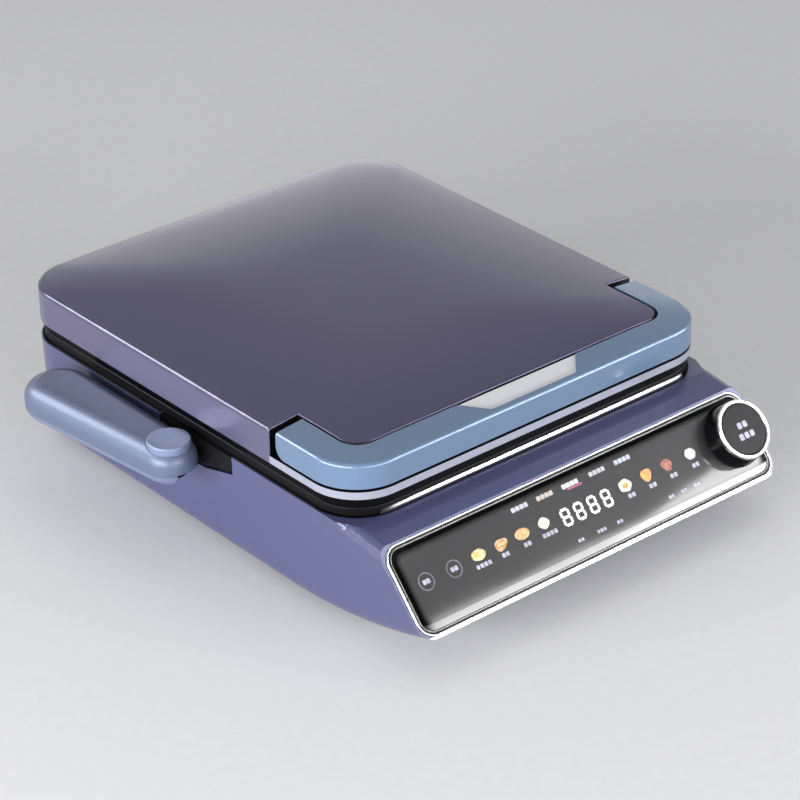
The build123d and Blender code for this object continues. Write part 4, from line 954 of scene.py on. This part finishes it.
set_inputs(tree, shader, [
    ("Base Color", blend_colours(tree, tooth, paper_dark, paper_pale)),
    ("Roughness", 0.9),
])
floor.data.materials.append(paper)
print("floor:", len(floor.data.polygons), "faces,", 2 * floor_half, "m wide")

# %% [markdown]
# ## Light
# The world gives even, plain light. For the camera, for gloss and through glass it shows a pale tone close
# to that of the floor, and for everything else a lower one, so that the soft boxes can shape the object.

# %% World
world_lights, world_shows = 0.32, 0.52
sky_tone = (0.97, 0.98, 1.0, 1)
world = bpy.data.worlds.new("studio")
bpy.context.scene.world = world
world.use_nodes = True
tree = world.node_tree
tree.nodes.clear()
rays = node(tree, "ShaderNodeLightPath").outputs
shown = maths(tree, "MAXIMUM", rays["Is Camera Ray"], rays["Is Glossy Ray"])
shown = maths(tree, "MAXIMUM", shown, rays["Is Transmission Ray"])
strength = between(tree, shown, world_lights, world_shows)
ambient = node(tree, "ShaderNodeBackground", [("Color", sky_tone), ("Strength", strength)])
node(tree, "ShaderNodeOutputWorld", [("Surface", ambient.outputs[0])])
print("world lights with", world_lights, "and shows", world_shows)

# %% [markdown]
# Two low boxes light the walls more than the top, and a weak one hangs above. The other boxes are cards
# that are only seen in gloss: each stands where one kind of edge mirrors the camera's line of sight, and
# draws its bright line. Two of them face the panel squarely. The tables hold name, place and size, and
# then the power of a box in watts, the radiance of a card, or the turn of a panel card in degrees.

# %% Soft boxes and cards
look_at = (0, 0, 0.07)
card_height = 0.4025
panel_card_radiance = 19


def soft_box(name, place, turn, size, power, only_gloss=False):
    """Rectangular area light at a place; turn is its rotation, and it shines against its third axis."""
    lamp = bpy.data.objects.new(name, bpy.data.lights.new(name, "AREA"))
    lamp.data.shape = "RECTANGLE"
    lamp.data.size, lamp.data.size_y = size
    lamp.data.energy = power
    lamp.visible_diffuse = not only_gloss
    bpy.context.scene.collection.objects.link(lamp)
    lamp.matrix_world = Matrix.Translation(Vector(place)) @ turn.to_4x4()


def aimed(place):
    """Rotation that points a light from its place at the object, with its second axis upwards."""
    return (Vector(place) - Vector(look_at)).to_track_quat("Z", "Y").to_matrix()


def card_power(radiance, size):
    """Power of a card that looks as bright as the given radiance."""
    return radiance * pi * size[0] * size[1]


boxes = (
    ("key_left", (-2.2, -0.35, 0.50), (2.6, 0.7), 84),
    ("fill_front", (0.2, -2.3, 0.60), (3.0, 0.6), 52),
    ("top", (0.3, 0.3, 2.2), (1.6, 1.6), 4),
)
cards = (
    ("card_left_edge", (-0.74, 0.86, 0.73), (0.6, 0.55), 12),
    ("card_front_edges", (0.59, -0.68, 0.72), (0.9, 0.05), 14),
    ("card_back_edge", (0.90, 1.27, 0.49), (1.7, 0.12), 4.5),
    ("card_far_side", (1.35, 1.40, 0.46), (1.6, 0.22), 1.3),
    ("card_panel_right", (0.72, -0.52, 0.36), (0.3, 0.3), 9),
)
panel_cards = (
    ("card_panel_low", (0.3075, -0.0447), (0.390, 0.0587), 0.0),
    ("card_panel_corner", (0.403, -0.0325), (0.19, 0.05), 8.9),
)
for name, place, size, power in boxes:
    soft_box(name, place, aimed(place), size, power)
for name, place, size, radiance in cards:
    soft_box(name, place, aimed(place), size, card_power(radiance, size), only_gloss=True)
for name, (x, s), size, lean in panel_cards:
    edges = [cos(way) * to_right + sin(way) * up_slope for way in (radians(lean), radians(lean + 90))]
    turn = Matrix((*edges, out_of_face)).transposed()
    power = card_power(panel_card_radiance, size)
    soft_box(name, on_panel(x, s, card_height), turn, size, power, only_gloss=True)
print("soft boxes:", len(boxes), "cards:", len(cards) + len(panel_cards))
